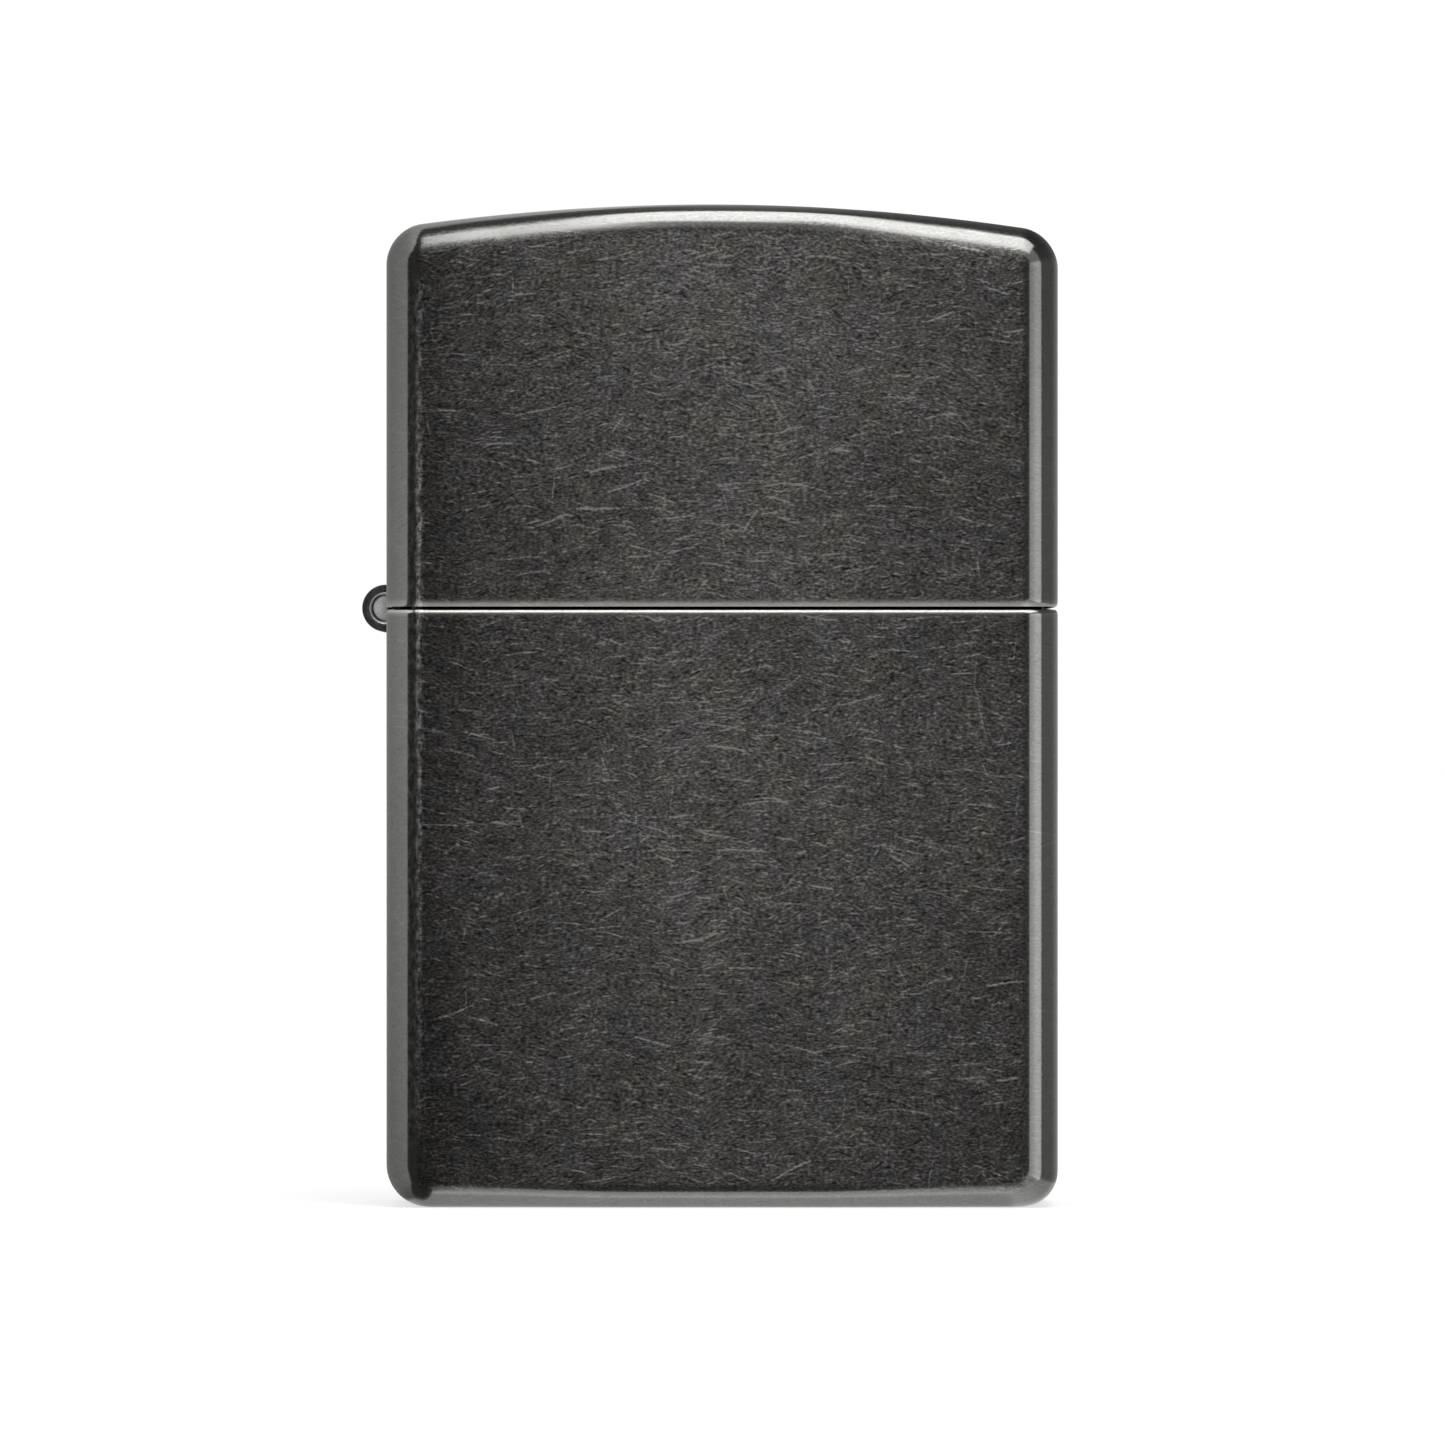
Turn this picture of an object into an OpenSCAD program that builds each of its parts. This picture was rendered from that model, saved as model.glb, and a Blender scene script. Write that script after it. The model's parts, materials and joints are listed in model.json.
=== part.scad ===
// Flip-top windproof petrol lighter: a two-part sheet-metal case on a five-knuckle
// hinge, with a wick-and-flint insert inside.
// X is the width (hinge at -X), Y is the depth (front face at -Y), Z is up.
// The origin is the middle of the case's flat underside.

/* [Case] */
// Width of the case across the front face
case_w = 38.3; // [38:0.1:40]
// Depth of the case, front face to back face
case_d = 12.7; // [12.6:0.1:13.4]
// Height of the closed case at the middle of its arched top
case_h = 57.15; // [56.5:0.05:58.5]
// Height of the lower half, up to its rim
base_h = 34.07; // [34:0.01:34.1]
// Gap between the two rims when the lid is shut
rim_gap = 0.16; // [0.1:0.01:0.2]
// Thickness of the sheet metal
wall = 0.65; // [0.5:0.05:0.7]
// Radius of the arch that the top follows
arch_r = 122.8; // [110:0.1:150]
// Rounding of the four upright edges
edge_r = 2.0; // [1.8:0.1:2.2]
// Rounding of the top corners, seen from the front
top_corner_r = 2.0; // [1.8:0.1:2.4]
// Rounding of the bottom corners, seen from the front
bottom_corner_r = 2.3; // [1.8:0.1:2.6]
// Rounding of the long edge between the front face and the top
top_edge_r = 1.3; // [1.0:0.1:1.6]
// Rounding of the long edge between the front face and the bottom
bottom_edge_r = 1.2; // [1.0:0.1:1.6]

/* [Hinge] */
// Outer diameter of the hinge barrel
barrel_d = 2.7; // [2.5:0.05:2.8]
// Diameter of the hinge pin
pin_d = 1.44; // [1.3:0.02:1.5]
// How far the hinge axis stands outside the case's side face
axis_out = 0.04; // [0:0.01:0.1]
// Height of the hinge axis
axis_z = 34.14; // [34.1:0.01:34.2]
// Overall length of the barrel
barrel_len = 8.6; // [8.2:0.1:8.6]
// Height of each hinge leaf on the inside of the wall
leaf_h = 8.3; // [6:0.1:9]
// Thickness of the hinge leaves
leaf_t = 0.4; // [0.3:0.05:0.45]
// Reach of the toe on the lid's leaf, from the hinge axis
toe_reach = 2.3; // [2.1:0.05:2.3]

/* [Insert] */
// Width of the fuel tank
tank_w = 36.0; // [35.6:0.1:36]
// Depth of the fuel tank
tank_d = 11.1; // [10.9:0.1:11.1]
// Height of the tank's top above the case's underside
tank_top = 35.2; // [35:0.05:35.3]
// Thickness of the tank's sheet
tank_wall = 0.35; // [0.3:0.05:0.4]
// Height of the windscreen's rim
screen_top = 50.6; // [49:0.1:51]
// Depth of the windscreen
screen_d = 9.4; // [9:0.1:9.8]
// Diameter of the windscreen's air holes
air_hole_d = 2.3; // [1.8:0.1:2.5]

/* [Striker] */
// Diameter of the striker wheel
wheel_d = 6.7; // [6.3:0.1:6.7]
// Width of the striker wheel
wheel_w = 6.0; // [5.4:0.1:6]
// Teeth around the striker wheel
wheel_teeth = 30; // [24:1:36]
// Distance of the wheel and flint tube from the middle of the case
striker_x = 10.6; // [10.4:0.1:10.8]
// Diameter of the flint
flint_d = 2.4; // [2.3:0.05:2.4]
// Length of the flint
flint_len = 5.05; // [3:0.05:5.1]
// Turns of the flint spring
spring_turns = 17; // [10:1:20]

/* [Cam] */
// Distance of the cam's pivot from the middle of the case, towards the hinge
cam_x = 13.3; // [13.2:0.05:13.4]
// Height of the cam's pivot
cam_z = 36.9; // [36.8:0.05:37]
// Reach of the cam's nose from its pivot
cam_reach = 4.05; // [3.8:0.05:4.05]

/* [Fuel parts] */
// Diameter of the wick
wick_d = 2.6; // [2.2:0.1:2.8]
// Height of the wick's tip
wick_top = 43.0; // [41:0.1:45]
// Thickness of the felt pad
felt_t = 2.2; // [1.6:0.1:2.2]

/* [Hidden] */
$fn = 48;
lid_z = base_h + rim_gap;
arch_z = case_h - arch_r;          // height of the arch's centre
axis_x = -case_w / 2 - axis_out;
side_in = -case_w / 2 + wall;      // inner face of the hinge-side wall
barrel_r = barrel_d / 2;
clear_r = barrel_r + 0.1;          // room that the walls leave round the barrel
knuckle_gap = 0.05;
// knuckle lengths from front to back: lid, base, lid, base, lid
mid_k = 2.4;
other_k = (barrel_len - mid_k - 4 * knuckle_gap) / 4;
knuckle_len = [other_k, other_k, mid_k, other_k, other_k];
function k_start(i) = i == 0 ? -barrel_len / 2
                             : k_start(i - 1) + knuckle_len[i - 1] + knuckle_gap;
tank_x = side_in + 0.8 + tank_w / 2;
tank_z0 = wall + 1.05;             // above the case's rounded inner corners
felt_z0 = tank_z0 + 0.05;
deck_t = 0.5;
deck_z = tank_top - deck_t;
wheel_z = 46.5;
wick_x = -1.6;
cam_w = 2.3;
bay_w = 2.7;                       // slot for the cam's nose in the deck
bay_x = -cam_x - 0.1;
bay_z = 31.9;
screen_wall = 0.45;
ear_y = wheel_w / 2 + 0.3;         // inner face of the wheel's ears

// ---------- helpers ----------
// a cylinder along Y, from y0 to y1
module ybar(r, x, y0, y1, z) {
    translate([x, y1, z]) rotate([90, 0, 0]) cylinder(h = y1 - y0, r = r);
}
// a flat outline with four equal round corners
module round_rect(w, d, r) {
    square([w - 2 * r, d], center = true);
    square([w, d - 2 * r], center = true);
    for (sx = [-1, 1], sy = [-1, 1])
        translate([sx * (w / 2 - r), sy * (d / 2 - r)]) circle(r);
}
module slab(w, d, r, z0, z1) {
    translate([0, 0, z0]) linear_extrude(z1 - z0) round_rect(w, d, r);
}
// front outline of the lid: straight sides, and corner arcs that run out over the arch
function arc_points(cx, cz, r, a0, a1, n) =
    [for (i = [0 : n]) [cx + r * cos(a0 + (a1 - a0) * i / n), cz + r * sin(a0 + (a1 - a0) * i / n)]];
function lid_outline(w, r, big, z0) =
    let (xc = w / 2 - r,
         zc = arch_z + sqrt(pow(big - r, 2) - xc * xc),
         top = atan2(zc - arch_z, xc),
         arc = arc_points(xc, zc, r, 0, top, 9),
         a = arc[8], b = arc[9],
         far = b + (b - a) * 26)
    concat([[w / 2, z0]], [for (i = [0 : 8]) arc[i]], [far, [-far[0], far[1]]],
           [for (i = [8 : -1 : 0]) [-arc[i][0], arc[i][1]]], [[-w / 2, z0]]);
// the whole case's form down to z0, made smaller by t on every side
module lid_form(t, z0) {
    w = case_w - 2 * t;
    d = case_d - 2 * t;
    intersection() {
        slab(w, d, edge_r - t, z0, case_h + 1);
        rotate([90, 0, 0]) linear_extrude(case_d + 4, center = true)
            polygon(lid_outline(w, top_corner_r - t, arch_r - t, z0 - 1));
        translate([0, 0, arch_z]) rotate([-90, 0, 0]) rotate_extrude($fn = 180)
            translate([arch_r - t - 20, 0]) {
                er = top_edge_r - t;
                translate([-20, -d / 2]) square([40 - er, d]);
                translate([-20, -d / 2 + er]) square([40, d - 2 * er]);
                for (s = [-1, 1]) translate([20 - er, s * (d / 2 - er)]) circle(er);
            }
    }
}
module base_form(t, z1) {
    w = case_w - 2 * t;
    d = case_d - 2 * t;
    fr = bottom_corner_r - t;
    er = bottom_edge_r - t;
    intersection() {
        slab(w, d, edge_r - t, t, z1);
        rotate([90, 0, 0]) linear_extrude(case_d + 4, center = true) {
            translate([-w / 2 + fr, t]) square([w - 2 * fr, z1 + 2]);
            translate([-w / 2, t + fr]) square([w, z1 + 2]);
            for (s = [-1, 1]) translate([s * (w / 2 - fr), t + fr]) circle(fr);
        }
        rotate([90, 0, 90]) linear_extrude(case_w + 4, center = true) {
            translate([-d / 2 + er, t]) square([d - 2 * er, z1 + 2]);
            translate([-d / 2, t + er]) square([d, z1 + 2]);
            for (s = [-1, 1]) translate([s * (d / 2 - er), t + er]) circle(er);
        }
    }
}

// ---------- case and hinge ----------
module case_base() {
    color([0.25, 0.25, 0.24]) difference() {
        base_form(0, base_h);
        base_form(wall, base_h + 1);
        // slot for the barrel
        translate([-case_w / 2 - 1, -barrel_len / 2 - 0.1, axis_z - clear_r])
            cube([wall + 1.5, barrel_len + 0.2, 5]);
    }
}
module case_lid() {
    color([0.27, 0.27, 0.26]) difference() {
        lid_form(0, lid_z);
        lid_form(wall, lid_z - 1);
        translate([-case_w / 2 - 1, -barrel_len / 2 - 0.1, axis_z - 4])
            cube([wall + 1.5, barrel_len + 0.2, 4 + clear_r]);
    }
}
module knuckle(i, bore) {
    y0 = k_start(i);
    y1 = y0 + knuckle_len[i];
    difference() {
        ybar(barrel_r, axis_x, y0, y1, axis_z);
        ybar(bore, axis_x, y0 - 1, y1 + 1, axis_z);
    }
}
// countersink at a free end of the barrel
module end_chamfer(y, s) {
    translate([axis_x, y, axis_z]) rotate([s * 90, 0, 0])
        translate([0, 0, -0.02]) cylinder(h = 0.17, r1 = 0.92, r2 = 0.75);
}
module hinge_leaf_base() {
    color([0.3, 0.3, 0.29]) difference() {
        union() {
            translate([side_in, -barrel_len / 2, axis_z - leaf_h])
                cube([leaf_t, barrel_len, leaf_h - clear_r - 0.25]);
            for (i = [1, 3]) {
                knuckle(i, pin_d / 2);
                difference() {
                    translate([side_in, k_start(i), axis_z - 3]) cube([leaf_t, knuckle_len[i], 3]);
                    ybar(pin_d / 2 + 0.2, axis_x, -9, 9, axis_z);
                }
            }
        }
    }
}
module hinge_leaf_lid() {
    color([0.3, 0.3, 0.29]) difference() {
        union() {
            translate([side_in, -barrel_len / 2, axis_z + clear_r + 0.1])
                cube([leaf_t, barrel_len, leaf_h - clear_r - 0.1]);
            for (i = [0, 2, 4]) {
                knuckle(i, pin_d / 2 + 0.03);
                difference() {
                    translate([side_in, k_start(i), axis_z]) cube([leaf_t, knuckle_len[i], 3]);
                    ybar(pin_d / 2 + 0.2, axis_x, -9, 9, axis_z);
                }
            }
            // toe that the cam's nose bears on
            translate([axis_x, 0, axis_z]) rotate([0, 35, 0])
                translate([1.0, -mid_k / 2 + 0.05, -0.25]) cube([toe_reach - 1.0, mid_k - 0.1, 0.5]);
        }
        end_chamfer(-barrel_len / 2, -1);
        end_chamfer(barrel_len / 2, 1);
    }
}
module hinge_pin() {
    color([0.72, 0.72, 0.7])
        ybar(pin_d / 2, axis_x, -barrel_len / 2 + 0.04, barrel_len / 2 - 0.04, axis_z);
}

// ---------- insert ----------
module tank_slab(inset, z0, z1) {
    translate([tank_x, 0, 0]) slab(tank_w - 2 * inset, tank_d - 2 * inset, 2.2 - inset, z0, z1);
}
module insert_tank() {
    color([0.78, 0.78, 0.77]) difference() {
        tank_slab(0, tank_z0, tank_top);
        tank_slab(tank_wall, tank_z0 - 1, tank_top + 1);
        // way in for the lid leaf's toe
        translate([-case_w / 2, -bay_w / 2, bay_z]) cube([3, bay_w, 6]);
    }
}
// plan of the windscreen's wall, with its wheel ears
module screen_plan() {
    o = screen_d / 2;
    i = o - screen_wall;
    cx = -4.6;
    difference() {
        union() {
            translate([cx, 0]) circle(o);
            translate([cx, -o]) square([5.8 - cx, 2 * o]);
        }
        translate([cx, 0]) circle(i);
        translate([cx, -i]) square([6.8 - cx, 2 * i]);
    }
    for (s = [-1, 1]) scale([1, s]) {
        polygon([[5.6, i], [5.6, o], [5.9, o], [7.6, ear_y + screen_wall], [7.6, ear_y], [7.3, ear_y]]);
        translate([7.4, ear_y]) square([6.2, screen_wall]);
    }
}
// side outline of the windscreen and ears
module screen_side() {
    translate([-10, deck_z]) square([16.4, screen_top - deck_z]);
    polygon([[6, deck_z], [13.4, deck_z], [13.0, wheel_z - 2], [striker_x + 2.3, wheel_z],
             [striker_x, wheel_z + 2.3], [8.6, wheel_z + 2.4], [7.2, screen_top - 1.2], [6, screen_top]]);
    translate([striker_x, wheel_z]) circle(2.3);
}
module chimney() {
    color([0.8, 0.8, 0.79]) difference() {
        union() {
            // deck with a skirt that grips the tank's mouth
            tank_slab(tank_wall, deck_z, tank_top);
            difference() {
                tank_slab(tank_wall, 31.5, deck_z + 0.1);
                tank_slab(2 * tank_wall, 30, deck_z + 0.05);
            }
            // box under the cam
            intersection() {
                tank_slab(tank_wall, 31, tank_top);
                translate([-case_w / 2, -bay_w / 2 - 0.35, bay_z - 0.35])
                    cube([case_w / 2 + bay_x + 0.35, bay_w + 0.7, 3.2]);
            }
            intersection() {
                translate([0, 0, deck_z]) linear_extrude(screen_top - deck_z) screen_plan();
                rotate([90, 0, 0]) linear_extrude(20, center = true) screen_side();
            }
            // ears for the cam
            for (s = [-1, 1]) translate([0, s * (bay_w / 2 + 0.225), 0]) {
                ybar(1.3, -cam_x, -0.225, 0.225, cam_z);
                translate([-cam_x - 1.3, -0.225, deck_z]) cube([2.6, 0.45, cam_z - deck_z]);
            }
        }
        // inside of the box under the cam
        translate([-case_w / 2, -bay_w / 2, bay_z]) cube([case_w / 2 + bay_x, bay_w, 3.9]);
        // cam rivet, wheel rivet
        ybar(0.65, -cam_x, -4, 4, cam_z);
        ybar(1.0, striker_x, -9, 9, wheel_z);
        // wick and flint tube
        translate([wick_x, 0, 30]) cylinder(h = 8, r = wick_d / 2);
        translate([striker_x, 0, 30]) cylinder(h = 8, r = 1.7);
        // spring rivet
        translate([-7.1, 0, 30]) cylinder(h = 8, r = 0.6);
        // way under the windscreen for the cam spring
        translate([-10, -1.4, tank_top]) cube([3, 2.8, 0.9]);
        // air holes in rows of three, two and three
        for (row = [0, 1, 2]) for (c = [0 : (row == 1 ? 1 : 2)])
            ybar(air_hole_d / 2, wick_x - 4.1 + 4.1 * c + (row == 1 ? 2.05 : 0), -9, 9, 39.4 + 4.0 * row);
    }
}
nose_a = 33;                        // slope of the cam's nose below level
tip_r = 0.55;
tip_l = cam_reach - tip_r;
module cam() {
    hub = 1.3;
    u = [-cos(nose_a), -sin(nose_a)];
    v = [sin(nose_a), -cos(nose_a)];
    sa = (hub - tip_r) / tip_l;
    ca = sqrt(1 - sa * sa);
    low = [v[0] * ca + u[0] * sa, v[1] * ca + u[1] * sa];
    high = [-v[0] * ca + u[0] * sa, -v[1] * ca + u[1] * sa];
    tip = u * tip_l;
    color([0.7, 0.7, 0.68]) difference() {
        union() {
            ybar(hub, -cam_x, -cam_w / 2, cam_w / 2, cam_z);
            ybar(tip_r, tip[0] - cam_x, -cam_w / 2, cam_w / 2, cam_z + tip[1]);
            translate([-cam_x, 0, cam_z]) rotate([90, 0, 0]) linear_extrude(cam_w, center = true)
                polygon([high * hub * 0.96, tip + high * tip_r * 0.93, tip + low * tip_r * 0.93,
                         low * hub * 0.96]);
            // short tail above the deck
            translate([-cam_x, 0, cam_z]) rotate([90, 0, 0]) linear_extrude(cam_w, center = true)
                polygon([[1.0, -0.5], [1.75, 0.9], [1.5, 1.35], [0.3, 1.1], [-0.2, 0.3]]);
        }
        ybar(0.7, -cam_x, -4, 4, cam_z);
    }
}
module rivet(r, head, x, y, z, h) {
    ybar(r, x, -y, y, z);
    ybar(head, x, y, y + h, z);
    ybar(head, x, -y - h, -y, z);
}
module cam_rivet() {
    color([0.75, 0.75, 0.74]) rivet(0.65, 1.05, -cam_x, bay_w / 2 + 0.45, cam_z, 0.35);
}
module cam_spring() {
    t = 0.25;
    slope = tan(20.6);
    color([0.66, 0.67, 0.68]) difference() {
        rotate([90, 0, 0]) linear_extrude(2.0, center = true)
            polygon([[-5.4, tank_top], [-5.4, tank_top + t], [-13.5, tank_top + t],
                     [-16.1, tank_top + t - 2.6 * slope - 0.04], [-16.2, tank_top - 2.7 * slope - 0.1],
                     [-13.6, tank_top - 0.04], [-13.35, tank_top]]);
        translate([-7.1, 0, 30]) cylinder(h = 8, r = 0.6);
    }
}
module cam_spring_rivet() {
    color([0.75, 0.75, 0.74]) translate([-7.1, 0, 0]) {
        translate([0, 0, deck_z - 0.3]) cylinder(h = 0.3, r = 1.0);
        translate([0, 0, deck_z]) cylinder(h = deck_t + 0.25, r = 0.6);
        translate([0, 0, tank_top + 0.25]) cylinder(h = 0.35, r = 0.95);
    }
}

// ---------- striker ----------
module striker_wheel() {
    r = wheel_d / 2;
    w = wheel_w / 2;
    step = 360 / wheel_teeth;
    color([0.5, 0.5, 0.5]) translate([striker_x, 0, wheel_z]) rotate([90, 0, 0]) difference() {
        union() {
            // toothed drum: each tooth is a blade with one steep side
            linear_extrude(2 * w - 1.2, center = true)
                polygon([for (i = [0 : wheel_teeth - 1]) for (k = [0, 1])
                    let (a = i * step + (k == 0 ? 0 : step * 0.3), q = k == 0 ? r : r - 0.38)
                    [q * cos(a), q * sin(a)]]);
            cylinder(h = 2 * w, r = r - 0.75, center = true);
        }
        cylinder(h = 20, r = 1.05, center = true);
    }
}
module wheel_rivet() {
    color([0.75, 0.75, 0.74]) rivet(1.0, 1.75, striker_x, ear_y + screen_wall, wheel_z, 0.4);
}
module flint_tube() {
    color([0.8, 0.66, 0.35]) translate([striker_x, 0, 0]) difference() {
        translate([0, 0, felt_z0 + 1.6]) cylinder(h = 42.9 - felt_z0 - 1.6, r = 1.7);
        cylinder(h = 50, r = flint_d / 2 + 0.1);
    }
}
flint_top = wheel_z - wheel_d / 2 - 0.1;
plunger_top = flint_top - flint_len - 0.02;
spring_z0 = 8.6;
spring_z1 = plunger_top - 1.6;
module flint() {
    color([0.35, 0.34, 0.33]) translate([striker_x, 0, flint_top - flint_len])
        cylinder(h = flint_len, r = flint_d / 2);
}
module flint_plunger() {
    color([0.8, 0.66, 0.35]) translate([striker_x, 0, 0]) {
        translate([0, 0, plunger_top - 1.6]) cylinder(h = 1.6, r = 1.15);
        translate([0, 0, plunger_top - 4.4]) cylinder(h = 2.9, r = 0.6);
    }
}
// a round wire wound from spring_z0 to spring_z1, as rings of wire_n points
wire_r = 0.2;
coil_r = 0.92;
wire_n = 6;
ring_n = 12;
module flint_spring() {
    z0 = spring_z0 + wire_r + 0.02;
    rise = spring_z1 - spring_z0 - 2 * wire_r - 0.04;
    rings = spring_turns * ring_n;
    points = [for (i = [0 : rings]) for (k = [0 : wire_n - 1])
        let (a = 360 * i / ring_n, b = 360 * k / wire_n, q = coil_r + wire_r * cos(b))
        [q * cos(a), q * sin(a), z0 + rise * i / rings + wire_r * sin(b)]];
    faces = concat(
        [[for (k = [0 : wire_n - 1]) k]],
        [for (i = [0 : rings - 1]) for (k = [0 : wire_n - 1]) for (h = [0, 1])
            let (p = i * wire_n + k, q = i * wire_n + (k + 1) % wire_n)
            h == 0 ? [p, p + wire_n, q + wire_n] : [p, q + wire_n, q]],
        [[for (k = [wire_n - 1 : -1 : 0]) rings * wire_n + k]]);
    color([0.7, 0.7, 0.7]) translate([striker_x, 0, 0]) polyhedron(points, faces, convexity = 10);
}
module flint_screw() {
    color([0.8, 0.66, 0.35]) translate([striker_x, 0, 0]) difference() {
        union() {
            translate([0, 0, felt_z0]) cylinder(h = 1.55, r = 2.6);
            translate([0, 0, felt_z0 + 1.5]) cylinder(h = spring_z0 - felt_z0 - 1.5, r = 1.25);
        }
        translate([-3, -0.4, felt_z0 - 1]) cube([6, 0.8, 1.7]);
    }
}

// ---------- fuel parts ----------
turn_a = 3.0;                       // first bend of the wick
turn_b = 3.2;                       // half turns of the wick
run_1 = 24.5;                       // heights of the wick's level runs
run_2 = run_1 - 2 * turn_b;
run_3 = run_2 - 2 * turn_b;
left_x = -11.5;
right_x = 3.5;
module xbar(r, x0, x1, z) {
    translate([x0, 0, z]) rotate([0, 90, 0]) cylinder(h = x1 - x0, r = r);
}
module bend(r, bend_r, x, z, a0, sweep) {
    translate([x, 0, z]) rotate([90, 0, 0]) rotate([0, 0, a0])
        rotate_extrude(angle = sweep) translate([bend_r, 0]) circle(r);
}
module wick() {
    r = wick_d / 2;
    color([0.9, 0.87, 0.8]) {
        translate([wick_x, 0, run_1 + turn_a]) cylinder(h = wick_top - run_1 - turn_a, r = r);
        bend(r, turn_a, wick_x - turn_a, run_1 + turn_a, -90, 90);
        xbar(r, left_x, wick_x - turn_a, run_1);
        bend(r, turn_b, left_x, run_1 - turn_b, 90, 180);
        xbar(r, left_x, right_x, run_2);
        bend(r, turn_b, right_x, run_2 - turn_b, -90, 180);
        xbar(r, left_x, right_x, run_3);
    }
}
// one piece of wadding: the tank's plan between two heights and two widths, less the flint tube
module wad(x0, x1, z0, z1) {
    intersection() {
        tank_slab(tank_wall + 0.1, z0, z1);
        translate([x0, -10, z0]) cube([x1 - x0, 20, z1 - z0]);
    }
}
module tube_hole() {
    translate([striker_x, 0, 0]) cylinder(h = 50, r = 1.8);
}
g = 0.1;
wr = wick_d / 2;
module wadding_top() {
    color([0.93, 0.92, 0.9]) difference() {
        wad(-20, 20, run_1 + turn_a + g, 31.1);
        translate([wick_x, 0, 20]) cylinder(h = 20, r = wr + g);
        tube_hole();
    }
}
module wadding_upper() {
    color([0.93, 0.92, 0.9]) difference() {
        union() {
            wad(left_x + 0.5, 20, run_2 + wr + g, run_1 - wr - g);
            wad(wick_x + wr + g, 20, run_2 + wr + g, run_1 + turn_a);
        }
        tube_hole();
    }
}
module wadding_middle() {
    color([0.93, 0.92, 0.9]) wad(-20, right_x - 0.5, run_3 + wr + g, run_2 - wr - g);
}
module wadding_side() {
    color([0.93, 0.92, 0.9]) difference() {
        wad(right_x + turn_b + wr + g, 20, run_3 - wr, run_2 + wr);
        tube_hole();
    }
}
module wadding_bottom() {
    color([0.93, 0.92, 0.9]) difference() {
        wad(-20, 20, felt_z0 + felt_t + 0.2, run_3 - wr - g);
        tube_hole();
    }
}
module felt_pad() {
    color([0.85, 0.83, 0.78]) difference() {
        tank_slab(tank_wall + 0.05, felt_z0, felt_z0 + felt_t);
        translate([striker_x, 0, 0]) cylinder(h = 10, r = 2.9);
    }
}

case_base();
case_lid();
hinge_leaf_base();
hinge_leaf_lid();
hinge_pin();
insert_tank();
chimney();
cam();
cam_rivet();
cam_spring();
cam_spring_rivet();
striker_wheel();
wheel_rivet();
flint_tube();
flint();
flint_plunger();
flint_spring();
flint_screw();
wick();
wadding_top();
wadding_upper();
wadding_middle();
wadding_side();
wadding_bottom();
felt_pad();
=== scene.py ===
import math
import random

import bmesh
import bpy
import numpy as np
from mathutils import Matrix, Vector
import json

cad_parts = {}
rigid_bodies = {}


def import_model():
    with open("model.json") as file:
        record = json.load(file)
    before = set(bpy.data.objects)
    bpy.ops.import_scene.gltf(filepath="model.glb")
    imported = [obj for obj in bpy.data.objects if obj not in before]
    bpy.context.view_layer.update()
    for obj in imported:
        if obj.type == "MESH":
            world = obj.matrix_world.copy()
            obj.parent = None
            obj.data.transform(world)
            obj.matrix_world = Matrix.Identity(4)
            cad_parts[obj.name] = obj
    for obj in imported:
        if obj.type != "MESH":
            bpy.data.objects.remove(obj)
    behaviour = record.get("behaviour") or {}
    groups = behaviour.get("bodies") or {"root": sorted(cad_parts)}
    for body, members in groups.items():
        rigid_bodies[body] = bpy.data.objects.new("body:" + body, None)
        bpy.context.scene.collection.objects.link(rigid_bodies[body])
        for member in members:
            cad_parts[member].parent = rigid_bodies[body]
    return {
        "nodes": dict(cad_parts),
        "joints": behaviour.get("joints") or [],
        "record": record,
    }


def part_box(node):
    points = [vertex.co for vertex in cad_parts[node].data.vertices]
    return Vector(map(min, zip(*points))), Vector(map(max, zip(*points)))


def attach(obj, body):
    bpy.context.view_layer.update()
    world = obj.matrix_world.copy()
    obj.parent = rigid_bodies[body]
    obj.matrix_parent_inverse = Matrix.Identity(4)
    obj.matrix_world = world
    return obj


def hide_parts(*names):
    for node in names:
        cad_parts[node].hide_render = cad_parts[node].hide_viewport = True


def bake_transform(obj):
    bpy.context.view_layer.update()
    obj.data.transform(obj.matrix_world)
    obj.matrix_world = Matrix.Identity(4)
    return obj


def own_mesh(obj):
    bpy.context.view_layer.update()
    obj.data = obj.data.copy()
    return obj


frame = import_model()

MM = 0.001
nodes = frame["nodes"]
joints = {j["name"]: j for j in frame["joints"]}


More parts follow.
